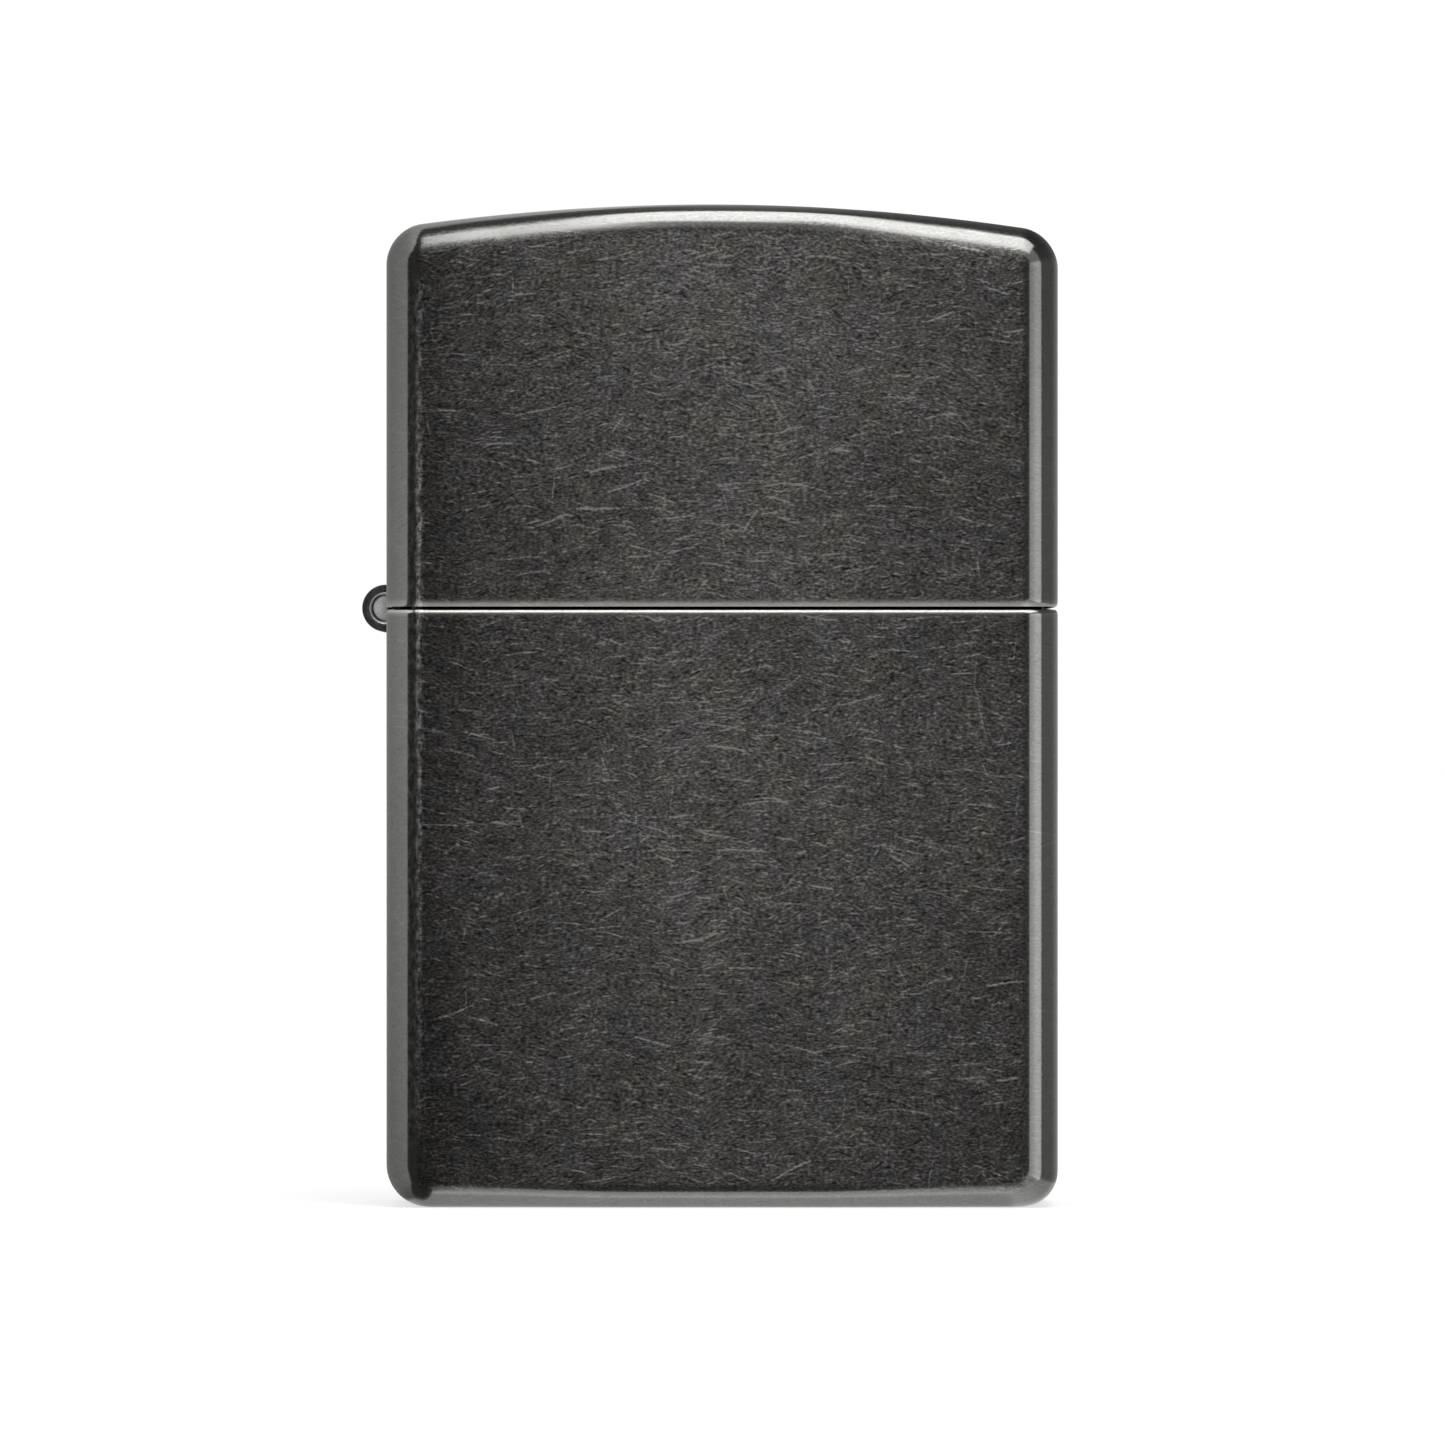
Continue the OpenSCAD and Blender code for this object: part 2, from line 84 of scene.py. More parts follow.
# ---------------------------------------------------------------- node helpers
class Tree:
    """Short calls for building a node tree."""

    def __init__(self, tree):
        self.t = tree

    def new(self, kind, **props):
        n = self.t.nodes.new(kind)
        for k, v in props.items():
            setattr(n, k, v)
        return n

    def put(self, socket, value):
        if value is None:
            return
        if isinstance(value, bpy.types.NodeSocket):
            self.t.links.new(value, socket)
        else:
            socket.default_value = value

    def math(self, op, a, b=None, c=None, clamp=False):
        n = self.new("ShaderNodeMath", operation=op, use_clamp=clamp)
        for i, v in enumerate((a, b, c)):
            if v is not None:
                self.put(n.inputs[i], v)
        return n.outputs[0]

    def vmath(self, op, a, b=None, scale=None):
        n = self.new("ShaderNodeVectorMath", operation=op)
        self.put(n.inputs[0], a)
        if b is not None:
            self.put(n.inputs[1], b)
        if scale is not None:
            self.put(n.inputs["Scale"], scale)
        return n.outputs["Value"] if op in ("LENGTH", "DOT_PRODUCT", "DISTANCE") else n.outputs[0]

    def remap(self, v, a, b, c=0.0, d=1.0, smooth=False):
        n = self.new("ShaderNodeMapRange", interpolation_type="SMOOTHSTEP" if smooth else "LINEAR", clamp=True)
        for i, x in enumerate((v, a, b, c, d)):
            self.put(n.inputs[i], x)
        return n.outputs[0]

    def noise(self, vec, scale, detail=2.0, rough=0.5, distortion=0.0, dims="3D"):
        n = self.new("ShaderNodeTexNoise", noise_dimensions=dims)
        self.put(n.inputs["Vector"], vec)
        for k, v in (("Scale", scale), ("Detail", detail), ("Roughness", rough), ("Distortion", distortion)):
            self.put(n.inputs[k], v)
        return n.outputs["Fac"]

    def mix(self, fac, a, b, blend="MIX"):
        n = self.new("ShaderNodeMix", data_type="RGBA", blend_type=blend)
        self.put(n.inputs[0], fac)
        self.put(n.inputs[6], a)
        self.put(n.inputs[7], b)
        return n.outputs[2]

    def mixf(self, fac, a, b):
        n = self.new("ShaderNodeMix", data_type="FLOAT")
        self.put(n.inputs[0], fac)
        self.put(n.inputs[2], a)
        self.put(n.inputs[3], b)
        return n.outputs[0]

    def xyz(self, v):
        n = self.new("ShaderNodeSeparateXYZ")
        self.put(n.inputs[0], v)
        return n.outputs

    def vec(self, x, y, z=0.0):
        n = self.new("ShaderNodeCombineXYZ")
        for i, v in enumerate((x, y, z)):
            self.put(n.inputs[i], v)
        return n.outputs[0]

    def rgb(self, r, g, b):
        n = self.new("ShaderNodeCombineColor")
        for i, v in enumerate((r, g, b)):
            self.put(n.inputs[i], v)
        return n.outputs[0]

    def bump(self, height, strength, distance, normal=None):
        n = self.new("ShaderNodeBump")
        self.put(n.inputs["Strength"], strength)
        self.put(n.inputs["Distance"], distance)
        self.put(n.inputs["Height"], height)
        if normal is not None:
            self.put(n.inputs["Normal"], normal)
        return n.outputs[0]

    def attr(self, name, out="Fac"):
        return self.new("ShaderNodeAttribute", attribute_name=name).outputs[out]

    def uv(self, name):
        return self.new("ShaderNodeUVMap", uv_map=name).outputs[0]

    def curve(self, v, pts):
        """Piecewise linear curve through pts, flat beyond its ends."""
        out = None
        for (x0, y0), (x1, y1) in zip(pts, pts[1:]):
            step = self.remap(v, x0, x1, y0 if out is None else 0.0, y1 if out is None else y1 - y0)
            out = step if out is None else self.math("ADD", out, step)
        return out

    def obj_mm(self):
        """Object coordinates in millimetres."""
        c = self.new("ShaderNodeTexCoord").outputs["Object"]
        return self.vmath("SCALE", c, scale=1000.0)


def material(name, metallic=0.0, **sockets):
    m = bpy.data.materials.new(name)
    m.use_nodes = True
    m.node_tree.nodes.clear()
    t = Tree(m.node_tree)
    out = t.new("ShaderNodeOutputMaterial")
    bsdf = t.new("ShaderNodeBsdfPrincipled")
    m.node_tree.links.new(bsdf.outputs[0], out.inputs[0])
    bsdf.inputs["Metallic"].default_value = metallic
    for k, v in sockets.items():
        bsdf.inputs[k.replace("_", " ")].default_value = v
    return m, t, bsdf


# ---------------------------------------------------------------- scratches
def scratch_group():
    """One layer of separate short scratches: each Voronoi cell holds one slightly bent line.
    Vector is in millimetres. Line is 0 to 1; Shade is that scratch's own random number."""
    g = bpy.data.node_groups.new("scratch_layer", "ShaderNodeTree")
    for name, kind in (("Vector", "NodeSocketVector"), ("Cell X", "NodeSocketFloat"), ("Cell Y", "NodeSocketFloat"),
                       ("Angle", "NodeSocketFloat"), ("Spread", "NodeSocketFloat"), ("Width", "NodeSocketFloat"),
                       ("Length", "NodeSocketFloat"), ("Bend", "NodeSocketFloat"), ("Seed", "NodeSocketFloat")):
        g.interface.new_socket(name, in_out="INPUT", socket_type=kind)
    g.interface.new_socket("Line", in_out="OUTPUT", socket_type="NodeSocketFloat")
    g.interface.new_socket("Shade", in_out="OUTPUT", socket_type="NodeSocketFloat")
    t = Tree(g)
    i = t.new("NodeGroupInput").outputs
    o = t.new("NodeGroupOutput").inputs
    seed = t.vec(i["Seed"], t.math("MULTIPLY", i["Seed"], 1.73))
    cell = t.vec(i["Cell X"], i["Cell Y"], 1.0)
    q = t.vmath("ADD", t.vmath("DIVIDE", i["Vector"], cell), seed)
    v = t.new("ShaderNodeTexVoronoi", voronoi_dimensions="2D", feature="F1")
    t.put(v.inputs["Vector"], q)
    v.inputs["Scale"].default_value = 1.0
    v.inputs["Randomness"].default_value = 1.0
    local = t.vmath("MULTIPLY", t.vmath("SUBTRACT", q, v.outputs["Position"]), cell)
    lx, ly, _ = t.xyz(local)
    col = t.new("ShaderNodeSeparateColor")
    t.put(col.inputs[0], v.outputs["Color"])
    r, gg, b = col.outputs
    ang = t.math("MULTIPLY_ADD", t.math("SUBTRACT", r, 0.5), t.math("MULTIPLY", i["Spread"], 2.0), i["Angle"])
    ca, sa = t.math("COSINE", ang), t.math("SINE", ang)
    along = t.math("ADD", t.math("MULTIPLY", lx, ca), t.math("MULTIPLY", ly, sa))
    off = t.math("SUBTRACT", t.math("MULTIPLY", ly, ca), t.math("MULTIPLY", lx, sa))
    bend = t.math("MULTIPLY", t.math("SUBTRACT", gg, 0.5), i["Bend"])
    off = t.math("ADD", off, t.math("MULTIPLY", bend, t.math("MULTIPLY", along, along)))
    wid = t.math("MULTIPLY", i["Width"], t.math("MULTIPLY_ADD", b, 0.8, 0.5))
    line = t.remap(t.math("ABSOLUTE", off), t.math("MULTIPLY", wid, 0.25), wid, 1.0, 0.0, smooth=True)
    half = t.math("MULTIPLY", i["Length"], t.math("MULTIPLY_ADD", gg, 0.7, 0.3))
    ends = t.remap(t.math("ABSOLUTE", along), t.math("MULTIPLY", half, 0.35), half, 1.0, 0.0, smooth=True)
    t.put(o["Line"], t.math("MULTIPLY", line, ends))
    t.put(o["Shade"], b)
    return g


SCRATCH = scratch_group()


def scratches(t, vec, cx, cy, angle, spread, width, length, bend, seed):
    n = t.new("ShaderNodeGroup", node_tree=SCRATCH)
    for k, v in (("Vector", vec), ("Cell X", cx), ("Cell Y", cy), ("Angle", angle), ("Spread", spread),
                 ("Width", width), ("Length", length), ("Bend", bend), ("Seed", seed)):
        t.put(n.inputs[k], v)
    return n.outputs["Line"], n.outputs["Shade"]


# ---------------------------------------------------------------- case coating
def coat_material():
    m, t, b = material("worn_grey_coat", metallic=1.0)
    uv = t.uv("mm")
    worn = t.attr("flat")                     # 1 on the flat faces, 0 on the rounded edges
    # slow wander of the tumbling marks, so that they bend
    wx = t.math("MULTIPLY", t.math("SUBTRACT", t.noise(uv, 0.11, 2.0, dims="2D"), 0.5), 1.1)
    wy = t.math("MULTIPLY", t.math("SUBTRACT", t.noise(t.vmath("ADD", uv, (31.0, 7.0, 0.0)), 0.13, 2.0, dims="2D"), 0.5), 1.6)
    p = t.vmath("ADD", uv, t.vec(wx, wy))
    layers = (
        # cell x, cell y, angle, spread, width, length, bend, seed, weight, shade threshold
        (4.6, 1.5, 0.02, 0.34, 0.075, 2.2, 0.06, 3.1, 1.25, 0.35),
        (2.3, 0.60, -0.05, 0.30, 0.060, 1.3, 0.12, 11.7, 1.0, 0.15),
        (1.0, 0.26, 0.02, 0.38, 0.060, 0.6, 0.25, 37.3, 0.85, 0.0),
        (2.4, 2.2, 1.25, 0.9, 0.055, 1.6, 0.12, 67.7, 0.80, 0.30),
    )
    bright = None
    for cx, cy, an, sp, wd, ln, be, sd, wt, th in layers:
        line, shade = scratches(t, p, cx, cy, an, sp, wd, ln, be, sd)
        up = t.math("MULTIPLY", line, t.remap(shade, th, 1.0, 0.0, wt))
        bright = up if bright is None else t.math("ADD", bright, up)
    line, shade = scratches(t, p, 0.75, 0.34, 0.02, 0.6, 0.07, 0.45, 0.3, 97.1)
    dark = t.math("MULTIPLY", line, shade)
    # grain between the separate scratches, fine and coarse
    grain = t.math("SUBTRACT", t.noise(t.vmath("MULTIPLY", p, (1.0, 1.9, 1.0)), 4.4, 1.0, 0.6, dims="2D"), 0.5)
    patch = t.math("SUBTRACT", t.noise(t.vmath("MULTIPLY", p, (1.0, 1.7, 1.0)), 0.8, 3.0, 0.6, dims="2D"), 0.5)
    # clouds where the coat is thicker or rubbed away
    cloud = t.math("SUBTRACT", t.noise(uv, 0.16, 6.0, 0.68, dims="2D"), 0.5)
    warm = t.noise(t.vmath("ADD", uv, (90.0, 20.0, 0.0)), 0.35, 3.0, 0.6, dims="2D")

    x = t.math("MULTIPLY", grain, 2.7)
    x = t.math("MULTIPLY_ADD", patch, 1.1, x)
    x = t.math("MULTIPLY_ADD", cloud, 0.8, x)
    x = t.math("ADD", x, bright)
    x = t.math("MULTIPLY_ADD", dark, -0.9, x)
    # partly wear and partly painted light and shade: lighter in the middle of a face and towards the lid's top, darker
    # towards the edges and the foot
    ox, _, oz = t.xyz(t.obj_mm())
    wear_and_side_shade = t.math("MULTIPLY", t.math("MULTIPLY", ox, ox), -0.0014)
    lean = t.math("MINIMUM", ox, 0.0)
    wear_and_side_shade = t.math("MULTIPLY_ADD", t.math("MULTIPLY", lean, lean), -0.0011, wear_and_side_shade)
    wear_and_side_shade = t.math("ADD", wear_and_side_shade, t.remap(ox, -17.4, -14.5, -0.35, 0.0))
    # painted shade: darker towards the foot and under the rim, lighter up the lid where the overhead light falls
    wear_and_height_shade = t.math("ADD", t.remap(oz, 2.0, 20.0, -0.36, -0.06), t.remap(oz, 28.0, 34.0, 0.0, -0.13))
    wear_and_height_shade = t.math("ADD", wear_and_height_shade, t.remap(oz, 34.1, 34.3, 0.0, 0.13))
    wear_and_height_shade = t.math("ADD", wear_and_height_shade, t.remap(oz, 40.0, 55.0, 0.0, 0.16))
    x = t.math("ADD", x, t.math("ADD", wear_and_side_shade, wear_and_height_shade))
    # the last half millimetre before each rim is polished smooth, and painted lighter there as a highlight on the lips
    rim = t.math("SUBTRACT", t.math("ABSOLUTE", t.math("SUBTRACT", oz, 34.15)), 0.08)
    calm = t.remap(rim, 0.15, 0.60, 0.15, 1.0, smooth=True)
    x = t.math("MULTIPLY", x, t.math("MULTIPLY", calm, t.remap(worn, 0.0, 1.0, 0.12, 1.0)))
    # painted highlight on the rounded lips next to each rim
    x = t.math("ADD", x, t.remap(rim, 0.05, 0.45, 0.45, 0.0))
    # a burnished line along the hinge side's edge, broken along its length, with upright rubbing beside it
    rub = t.remap(t.math("ABSOLUTE", t.math("ADD", ox, 17.26)), 0.04, 0.32, 1.0, 0.0, smooth=True)
    rub = t.math("MULTIPLY", rub, t.curve(oz, ((3.0, 0.0), (4.6, 0.40), (22, 0.75), (35, 1.1), (42, 0.95), (52, 0.55), (53.5, 0.0))))
    broken = t.noise(t.vmath("MULTIPLY", uv, (2.6, 1.1, 1.0)), 1.6, 3.0, 0.7, dims="2D")
    beside = t.math("MULTIPLY", t.remap(ox, -17.95, -17.80), t.remap(ox, -17.0, -16.8, 1.0, 0.0))
    beside = t.math("MULTIPLY", beside, t.math("MULTIPLY", t.remap(oz, 52.2, 53.4, 1.0, 0.0), t.remap(oz, 3.0, 4.6)))
    x = t.math("ADD", x, t.math("MULTIPLY", rub, t.remap(broken, 0.3, 0.7, 0.1, 1.2)))
    x = t.math("ADD", x, t.math("MULTIPLY", beside, t.remap(broken, 0.3, 0.7, -0.55, 0.75)))
    # painted light and shade on the rounded edges: a little brighter near the rims on the hinge side, and towards the
    # foot on the other
    left = t.curve(oz, ((2, -0.18), (10, -0.05), (22, 0.0), (32, 0.12), (36, 0.07), (42, 0.0), (52, -0.14)))
    right = t.curve(oz, ((4, -0.06), (22, 0.0), (33, -0.05), (35, -0.15), (42, -0.13), (52, -0.40)))
    x = t.math("ADD", x, t.math("MULTIPLY", left, t.remap(ox, -17.9, -17.6, 1.0, 0.0)))
    x = t.math("ADD", x, t.math("MULTIPLY", right, t.remap(ox, 17.1, 17.5)))
    # painted highlight on the base's lip at the hinge side's edge
    lip = t.math("MULTIPLY", t.remap(oz, 33.80, 33.92), t.remap(oz, 34.1, 34.15, 1.0, 0.0))
    x = t.math("ADD", x, t.math("MULTIPLY", lip, t.remap(ox, -17.1, -16.8, 0.45, 0.0)))
    level = t.math("MULTIPLY", t.math("EXPONENT", x), t.remap(worn, 0.0, 1.0, 0.335, 0.331))
    level = t.math("MINIMUM", t.math("MAXIMUM", level, 0.04), 0.85)
    cool = t.remap(warm, 0.35, 0.65, 0.0, 1.0)
    colour = t.mix(cool, (1.055, 1.01, 0.91, 1), (1.025, 0.985, 0.985, 1))
    colour = t.mix(worn, (1.0, 0.995, 0.955, 1), colour)
    colour = t.mix(1.0, colour, t.rgb(level, level, level), "MULTIPLY")
    t.put(b.inputs["Base Color"], colour)
    rough = t.math("MULTIPLY_ADD", worn, 0.24, 0.13)
    rough = t.math("MULTIPLY_ADD", grain, 0.12, rough)
    rough = t.mixf(lip, rough, 0.16)
    rough = t.mixf(t.math("MULTIPLY", rub, 0.8), rough, 0.46)
    t.put(b.inputs["Roughness"], rough)
    fine = t.noise(t.vmath("MULTIPLY", uv, (1.0, 2.4, 1.0)), 3.2, 2.0, 0.65, dims="2D")
    h = t.math("MULTIPLY", fine, t.remap(worn, 0.0, 1.0, 0.05, 1.0))
    t.put(b.inputs["Normal"], t.bump(h, 0.35, 0.000012))
    return m


def inner_material():
    """Inside of the case: the same coat, unworn, with faint upright drawing lines."""
    m, t, b = material("inside_coat", metallic=1.0)
    p = t.obj_mm()
    draw = t.noise(t.vmath("MULTIPLY", p, (6.0, 6.0, 0.35)), 1.6, 3.0, 0.6)
    lv = t.remap(draw, 0.3, 0.7, 0.30, 0.40)
    t.put(b.inputs["Base Color"], t.mix(1.0, (1.02, 1.0, 0.96, 1), t.rgb(lv, lv, lv), "MULTIPLY"))
    t.put(b.inputs["Roughness"], t.remap(draw, 0.3, 0.7, 0.26, 0.40))
    t.put(b.inputs["Normal"], t.bump(draw, 0.25, 0.00001))
    return m


COAT = coat_material()
INSIDE = inner_material()


# ---------------------------------------------------------------- case shells
base_lo, base_hi = (np.array(v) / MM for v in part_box("case_base"))
lid_lo, lid_hi = (np.array(v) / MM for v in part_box("case_lid"))
W = base_hi[0] - base_lo[0]
D = base_hi[1] - base_lo[1]
WALL = 0.65
ARCH = 122.8
TOP = lid_hi[2]
ARCH_Z = TOP - ARCH
ARCH_X = -0.8                  # the crown of the arch lies a little towards the hinge
RC = 2.7
AXIS = np.array(joints["lid_hinge"]["pos_m"]) / MM


def smooth(a, b, x):
    v = np.clip((x - a) / (b - a), 0, 1)
    return v * v * (3 - 2 * v)


def form(p, lid):
    """Signed distance of the rounded case form, in mm. p is (n, 3)."""
    x, y, z = np.abs(p[:, 0]), np.abs(p[:, 1]), p[:, 2]
    a = x - W / 2
    b = y - D / 2
    if lid:
        c = np.hypot(p[:, 0] - ARCH_X, z - ARCH_Z) - ARCH
        r = 1.5 + 0.5 * smooth(3.0, 14.0, x)
    else:
        # the outline's foot corner and the front edge have radii of their own
        rc = np.where(p[:, 0] < 0, 2.42, 2.04)
        ac, cc = a + rc, rc - z
        c = np.hypot(np.maximum(ac, 0), np.maximum(cc, 0)) + np.minimum(np.maximum(ac, cc), 0) - rc
        a = np.full(len(x), -9.0)
        r = 1.15 + 0.4 * smooth(5.0, 16.0, x)
        r = r + (2.0 - r) * smooth(16.3, 17.5, x)
    ar, br, cr = a + r, b + r, c + r
    out = np.sqrt(np.maximum(ar, 0) ** 2 + np.maximum(br, 0) ** 2 + np.maximum(cr, 0) ** 2)
    return out + np.minimum(np.maximum(np.maximum(ar, br), cr), 0) - r


def cast(core, direction, lid, inset):
    """Where rays from core meet the form moved in by inset."""
    lo = np.zeros(len(core))
    hi = np.full(len(core), 6.0)
    for _ in range(48):
        mid = (lo + hi) / 2
        inside = form(core + direction * mid[:, None], lid) < -inset
        lo = np.where(inside, mid, lo)
        hi = np.where(inside, hi, mid)
    return core + direction * ((lo + hi) / 2)[:, None]


def ring_cores(nx=72, ny=14, nc=18):
    """Core points and outward directions round the plan, anticlockwise from the middle of the back."""
    hx, hy = W / 2 - RC, D / 2 - RC
    out = []
    half = nx // 2
    for i in range(half):
        out.append((-hx * i / half, hy, 0.0, 1.0))
    for i in range(nc):
        a = math.pi / 2 + math.pi / 2 * i / nc
        out.append((-hx, hy, math.cos(a), math.sin(a)))
    for i in range(ny):
        out.append((-hx, hy - 2 * hy * i / ny, -1.0, 0.0))
    for i in range(nc):
        a = math.pi + math.pi / 2 * i / nc
        out.append((-hx, -hy, math.cos(a), math.sin(a)))
    for i in range(nx):
        out.append((-hx + 2 * hx * i / nx, -hy, 0.0, -1.0))
    for i in range(nc):
        a = -math.pi / 2 + math.pi / 2 * i / nc
        out.append((hx, -hy, math.cos(a), math.sin(a)))
    for i in range(ny):
        out.append((hx, -hy + 2 * hy * i / ny, 1.0, 0.0))
    for i in range(nc):
        a = math.pi / 2 * i / nc
        out.append((hx, hy, math.cos(a), math.sin(a)))
    for i in range(half):
        out.append((hx - hx * i / half, hy, 0.0, 1.0))
    return np.array(out)


CORES = ring_cores()
NX, NY = 72, 14


def shell(name, lid, rim_z, rim_h, bend):
    """The closed shell of the lid or the lower half, as one mesh in the row frame."""
    n = len(CORES)
    # the lip is crisper on the hinge side, and the narrow sides' inner edges almost touch
    aside = smooth(0.25, 0.9, np.abs(CORES[:, 2]))
    rim_h = rim_h * (1 - aside * np.where(CORES[:, 2] < 0, 0.75 if lid else 0.30, 0.35 if lid else 0.0))
    close = 0.055 * smooth(0.5, 0.95, np.abs(CORES[:, 2]))
    cx, cy = CORES[:, 0], CORES[:, 1]
    flat_dir = np.stack([CORES[:, 2], CORES[:, 3], np.zeros(n)], 1)
    s = 1.0 if lid else -1.0
    if lid:
        core_z = ARCH_Z + np.sqrt(ARCH ** 2 - (cx - ARCH_X) ** 2) - RC
    else:
        core_z = np.full(n, RC)

    def level(z, inset):
        core = np.stack([cx, cy, np.broadcast_to(z, (n,))], 1)
        return cast(core, flat_dir, lid, inset)

    def side(inset, first):
        """Rings from just past the rim up the wall and round the edge to the crown."""
        rings = []
        z0 = rim_z + s * first
        for f in np.linspace(0, 1, 25):
            rings.append(level(z0 + (core_z - z0) * f, inset))
        for a in np.linspace(0, math.pi / 2, 19)[1:]:
            d = flat_dir * math.cos(a)
            d[:, 2] = s * math.sin(a)
            rings.append(cast(np.stack([cx, cy, core_z], 1), d, lid, inset))
        return rings

    rings = []                                    # outer crown -> rim -> inner crown
    tags = []
    outer = side(0.0, rim_h)
    rings += outer[::-1]
    tags += [0] * len(outer)
    bow = rim_h / math.sin(bend)
    for a in np.linspace(0, bend, 9)[1:]:          # rounded outer lip
        rings.append(level(rim_z + s * (rim_h - bow * math.sin(a)), bow * (1 - math.cos(a))))
        tags.append(0)
    ir = 0.1
    for a in np.linspace(0, math.pi / 2, 4):       # inner lip
        rings.append(level(rim_z - s * close + s * ir * (1 - math.cos(a)), WALL - ir * (1 - math.sin(a))))
        tags.append(1)
    inner = side(WALL, ir)
    rings += inner[1:]
    tags += [1] * (len(inner) - 1)

    bm = bmesh.new()
    uvl = bm.loops.layers.uv.new("mm")
    rows = [[bm.verts.new(Vector(v) * MM) for v in r] for r in rings]
    # lengths along the ring and along the profile, for the surface coordinates
    mid = rings[25]
    step = np.linalg.norm(np.roll(mid, -1, 0) - mid, axis=1)
    us = np.concatenate([[0], np.cumsum(step)])
    front = np.argmin(np.abs(cx) + (cy > 0) * 99)
    us = us - us[front]
    vs = [0.0]
    for a, b in zip(rings, rings[1:]):
        vs.append(vs[-1] - np.linalg.norm(b[front] - a[front]) * s)
    shift = rings[20][front][2] - vs[20]
    for k in range(len(rings) - 1):
        a, b = rows[k], rows[k + 1]
        for i in range(n):
            j = (i + 1) % n
            f = bm.faces.new((a[i], a[j], b[j], b[i]))
            f.material_index = 1 if tags[k + 1] and tags[k] else 0
            f.smooth = True
            for lp, (ii, kk) in zip(f.loops, ((i, k), (i + 1, k), (i + 1, k + 1), (i, k + 1))):
                lp[uvl].uv = (us[ii], vs[kk] + shift)
    # crowns: the flat of the bottom, or the arch, over the core rectangle
    hx, hy = W / 2 - RC, D / 2 - RC
    for inset, tag in ((0.0, 0), (WALL, 1)):
        grid = []
        for gy in range(NY + 1):
            row = []
            for gx in range(NX + 1):
                x, y = -hx + 2 * hx * gx / NX, -hy + 2 * hy * gy / NY
                z = ARCH_Z + math.sqrt((ARCH - inset) ** 2 - (x - ARCH_X) ** 2) if lid else inset
                row.append(bm.verts.new(Vector((x, y, z)) * MM))
            grid.append(row)
        for gy in range(NY):
            for gx in range(NX):
                q = (grid[gy][gx], grid[gy][gx + 1], grid[gy + 1][gx + 1], grid[gy + 1][gx])
                f = bm.faces.new(q)
                f.material_index = tag
                f.smooth = True
                for lp in f.loops:
                    lp[uvl].uv = (lp.vert.co.x / MM, lp.vert.co.y / MM + 160.0)
    bmesh.ops.remove_doubles(bm, verts=bm.verts, dist=2e-7)
    bmesh.ops.dissolve_degenerate(bm, edges=bm.edges, dist=1e-8)
    bmesh.ops.recalc_face_normals(bm, faces=bm.faces)
    mesh = bpy.data.meshes.new(name)
    bm.to_mesh(mesh)
    bm.free()
    mesh.materials.append(COAT)
    mesh.materials.append(INSIDE)
    o = bpy.data.objects.new(name, mesh)
    bpy.context.scene.collection.objects.link(o)
    return o


def apply_mods(o):
    dg = bpy.context.evaluated_depsgraph_get()
    m = bpy.data.meshes.new_from_object(o.evaluated_get(dg), preserve_all_data_layers=True, depsgraph=dg)
    o.modifiers.clear()
    o.data = m
    return o


def cut(o, lo, hi):
    """Takes a box (mm) out of a piece."""
    bm = bmesh.new()
    bmesh.ops.create_cube(bm, size=1.0)
    for v in bm.verts:
        v.co = Vector([(lo[i] + (v.co[i] + 0.5) * (hi[i] - lo[i])) * MM for i in range(3)])
    me = bpy.data.meshes.new("cutter")
    bm.to_mesh(me)
    bm.free()
    me.materials.append(o.data.materials[0])
    c = bpy.data.objects.new("cutter", me)
    bpy.context.scene.collection.objects.link(c)
    mod = o.modifiers.new("cut", "BOOLEAN")
    mod.operation = "DIFFERENCE"
    mod.solver = "EXACT"
    mod.object = c
    bpy.context.view_layer.update()
    apply_mods(o)
    bpy.data.objects.remove(c)
    return o


def flat_attribute(o):
    """Stores 1 on flat faces and 0 on rounded edges, from the form's own normals."""
    me = o.data
    co = np.empty(len(me.vertices) * 3)
    me.vertices.foreach_get("co", co)
    co = co.reshape(-1, 3) / MM
    x, y = np.abs(co[:, 0]), np.abs(co[:, 1])
    a = x - W / 2 + 2.0
    b = y - D / 2 + 2.0
    edge = np.zeros(len(co))
    both = (a > 0.3) & (b > 0.3)
    edge[both] = 1
    near = np.minimum(np.clip(1 + (a - 0.3) / 0.5, 0, 1), np.clip(1 + (b - 0.3) / 0.5, 0, 1))
    if co[:, 2].max() > 40:
        c = np.hypot(co[:, 0] - ARCH_X, co[:, 2] - ARCH_Z) - ARCH + 1.2
    else:
        c = -co[:, 2] + 0.95
    for u in (a, b):
        near = np.maximum(near, np.minimum(np.clip(1 + c / 0.5, 0, 1), np.clip(1 + u / 0.5, 0, 1)))
    edge = np.maximum(edge, near)
    at = me.attributes.new("flat", "FLOAT", "POINT")
    at.data.foreach_set("value", 1 - smooth(0, 1, edge))


HX0 = base_lo[0] - 1.0
slot_half = 4.4
barrel_r = 1.35
base_shell = shell("case_base_shell", False, base_hi[2] - 0.03, 0.27, math.radians(52))
cut(base_shell, (HX0, -slot_half, AXIS[2] - barrel_r - 0.1), (base_lo[0] + WALL + 0.4, slot_half, base_hi[2] + 2))
lid_shell = shell("case_lid_shell", True, lid_lo[2] - 0.01, 0.50, math.radians(31))
cut(lid_shell, (HX0, -slot_half, lid_lo[2] - 2), (base_lo[0] + WALL + 0.4, slot_half, AXIS[2] + barrel_r + 0.1))
for o, body, node in ((base_shell, "case", "case_base"), (lid_shell, "lid", "case_lid")):
    flat_attribute(o)
    o.data.set_sharp_from_angle(angle=math.radians(40))
    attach(o, body)
    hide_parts(node)


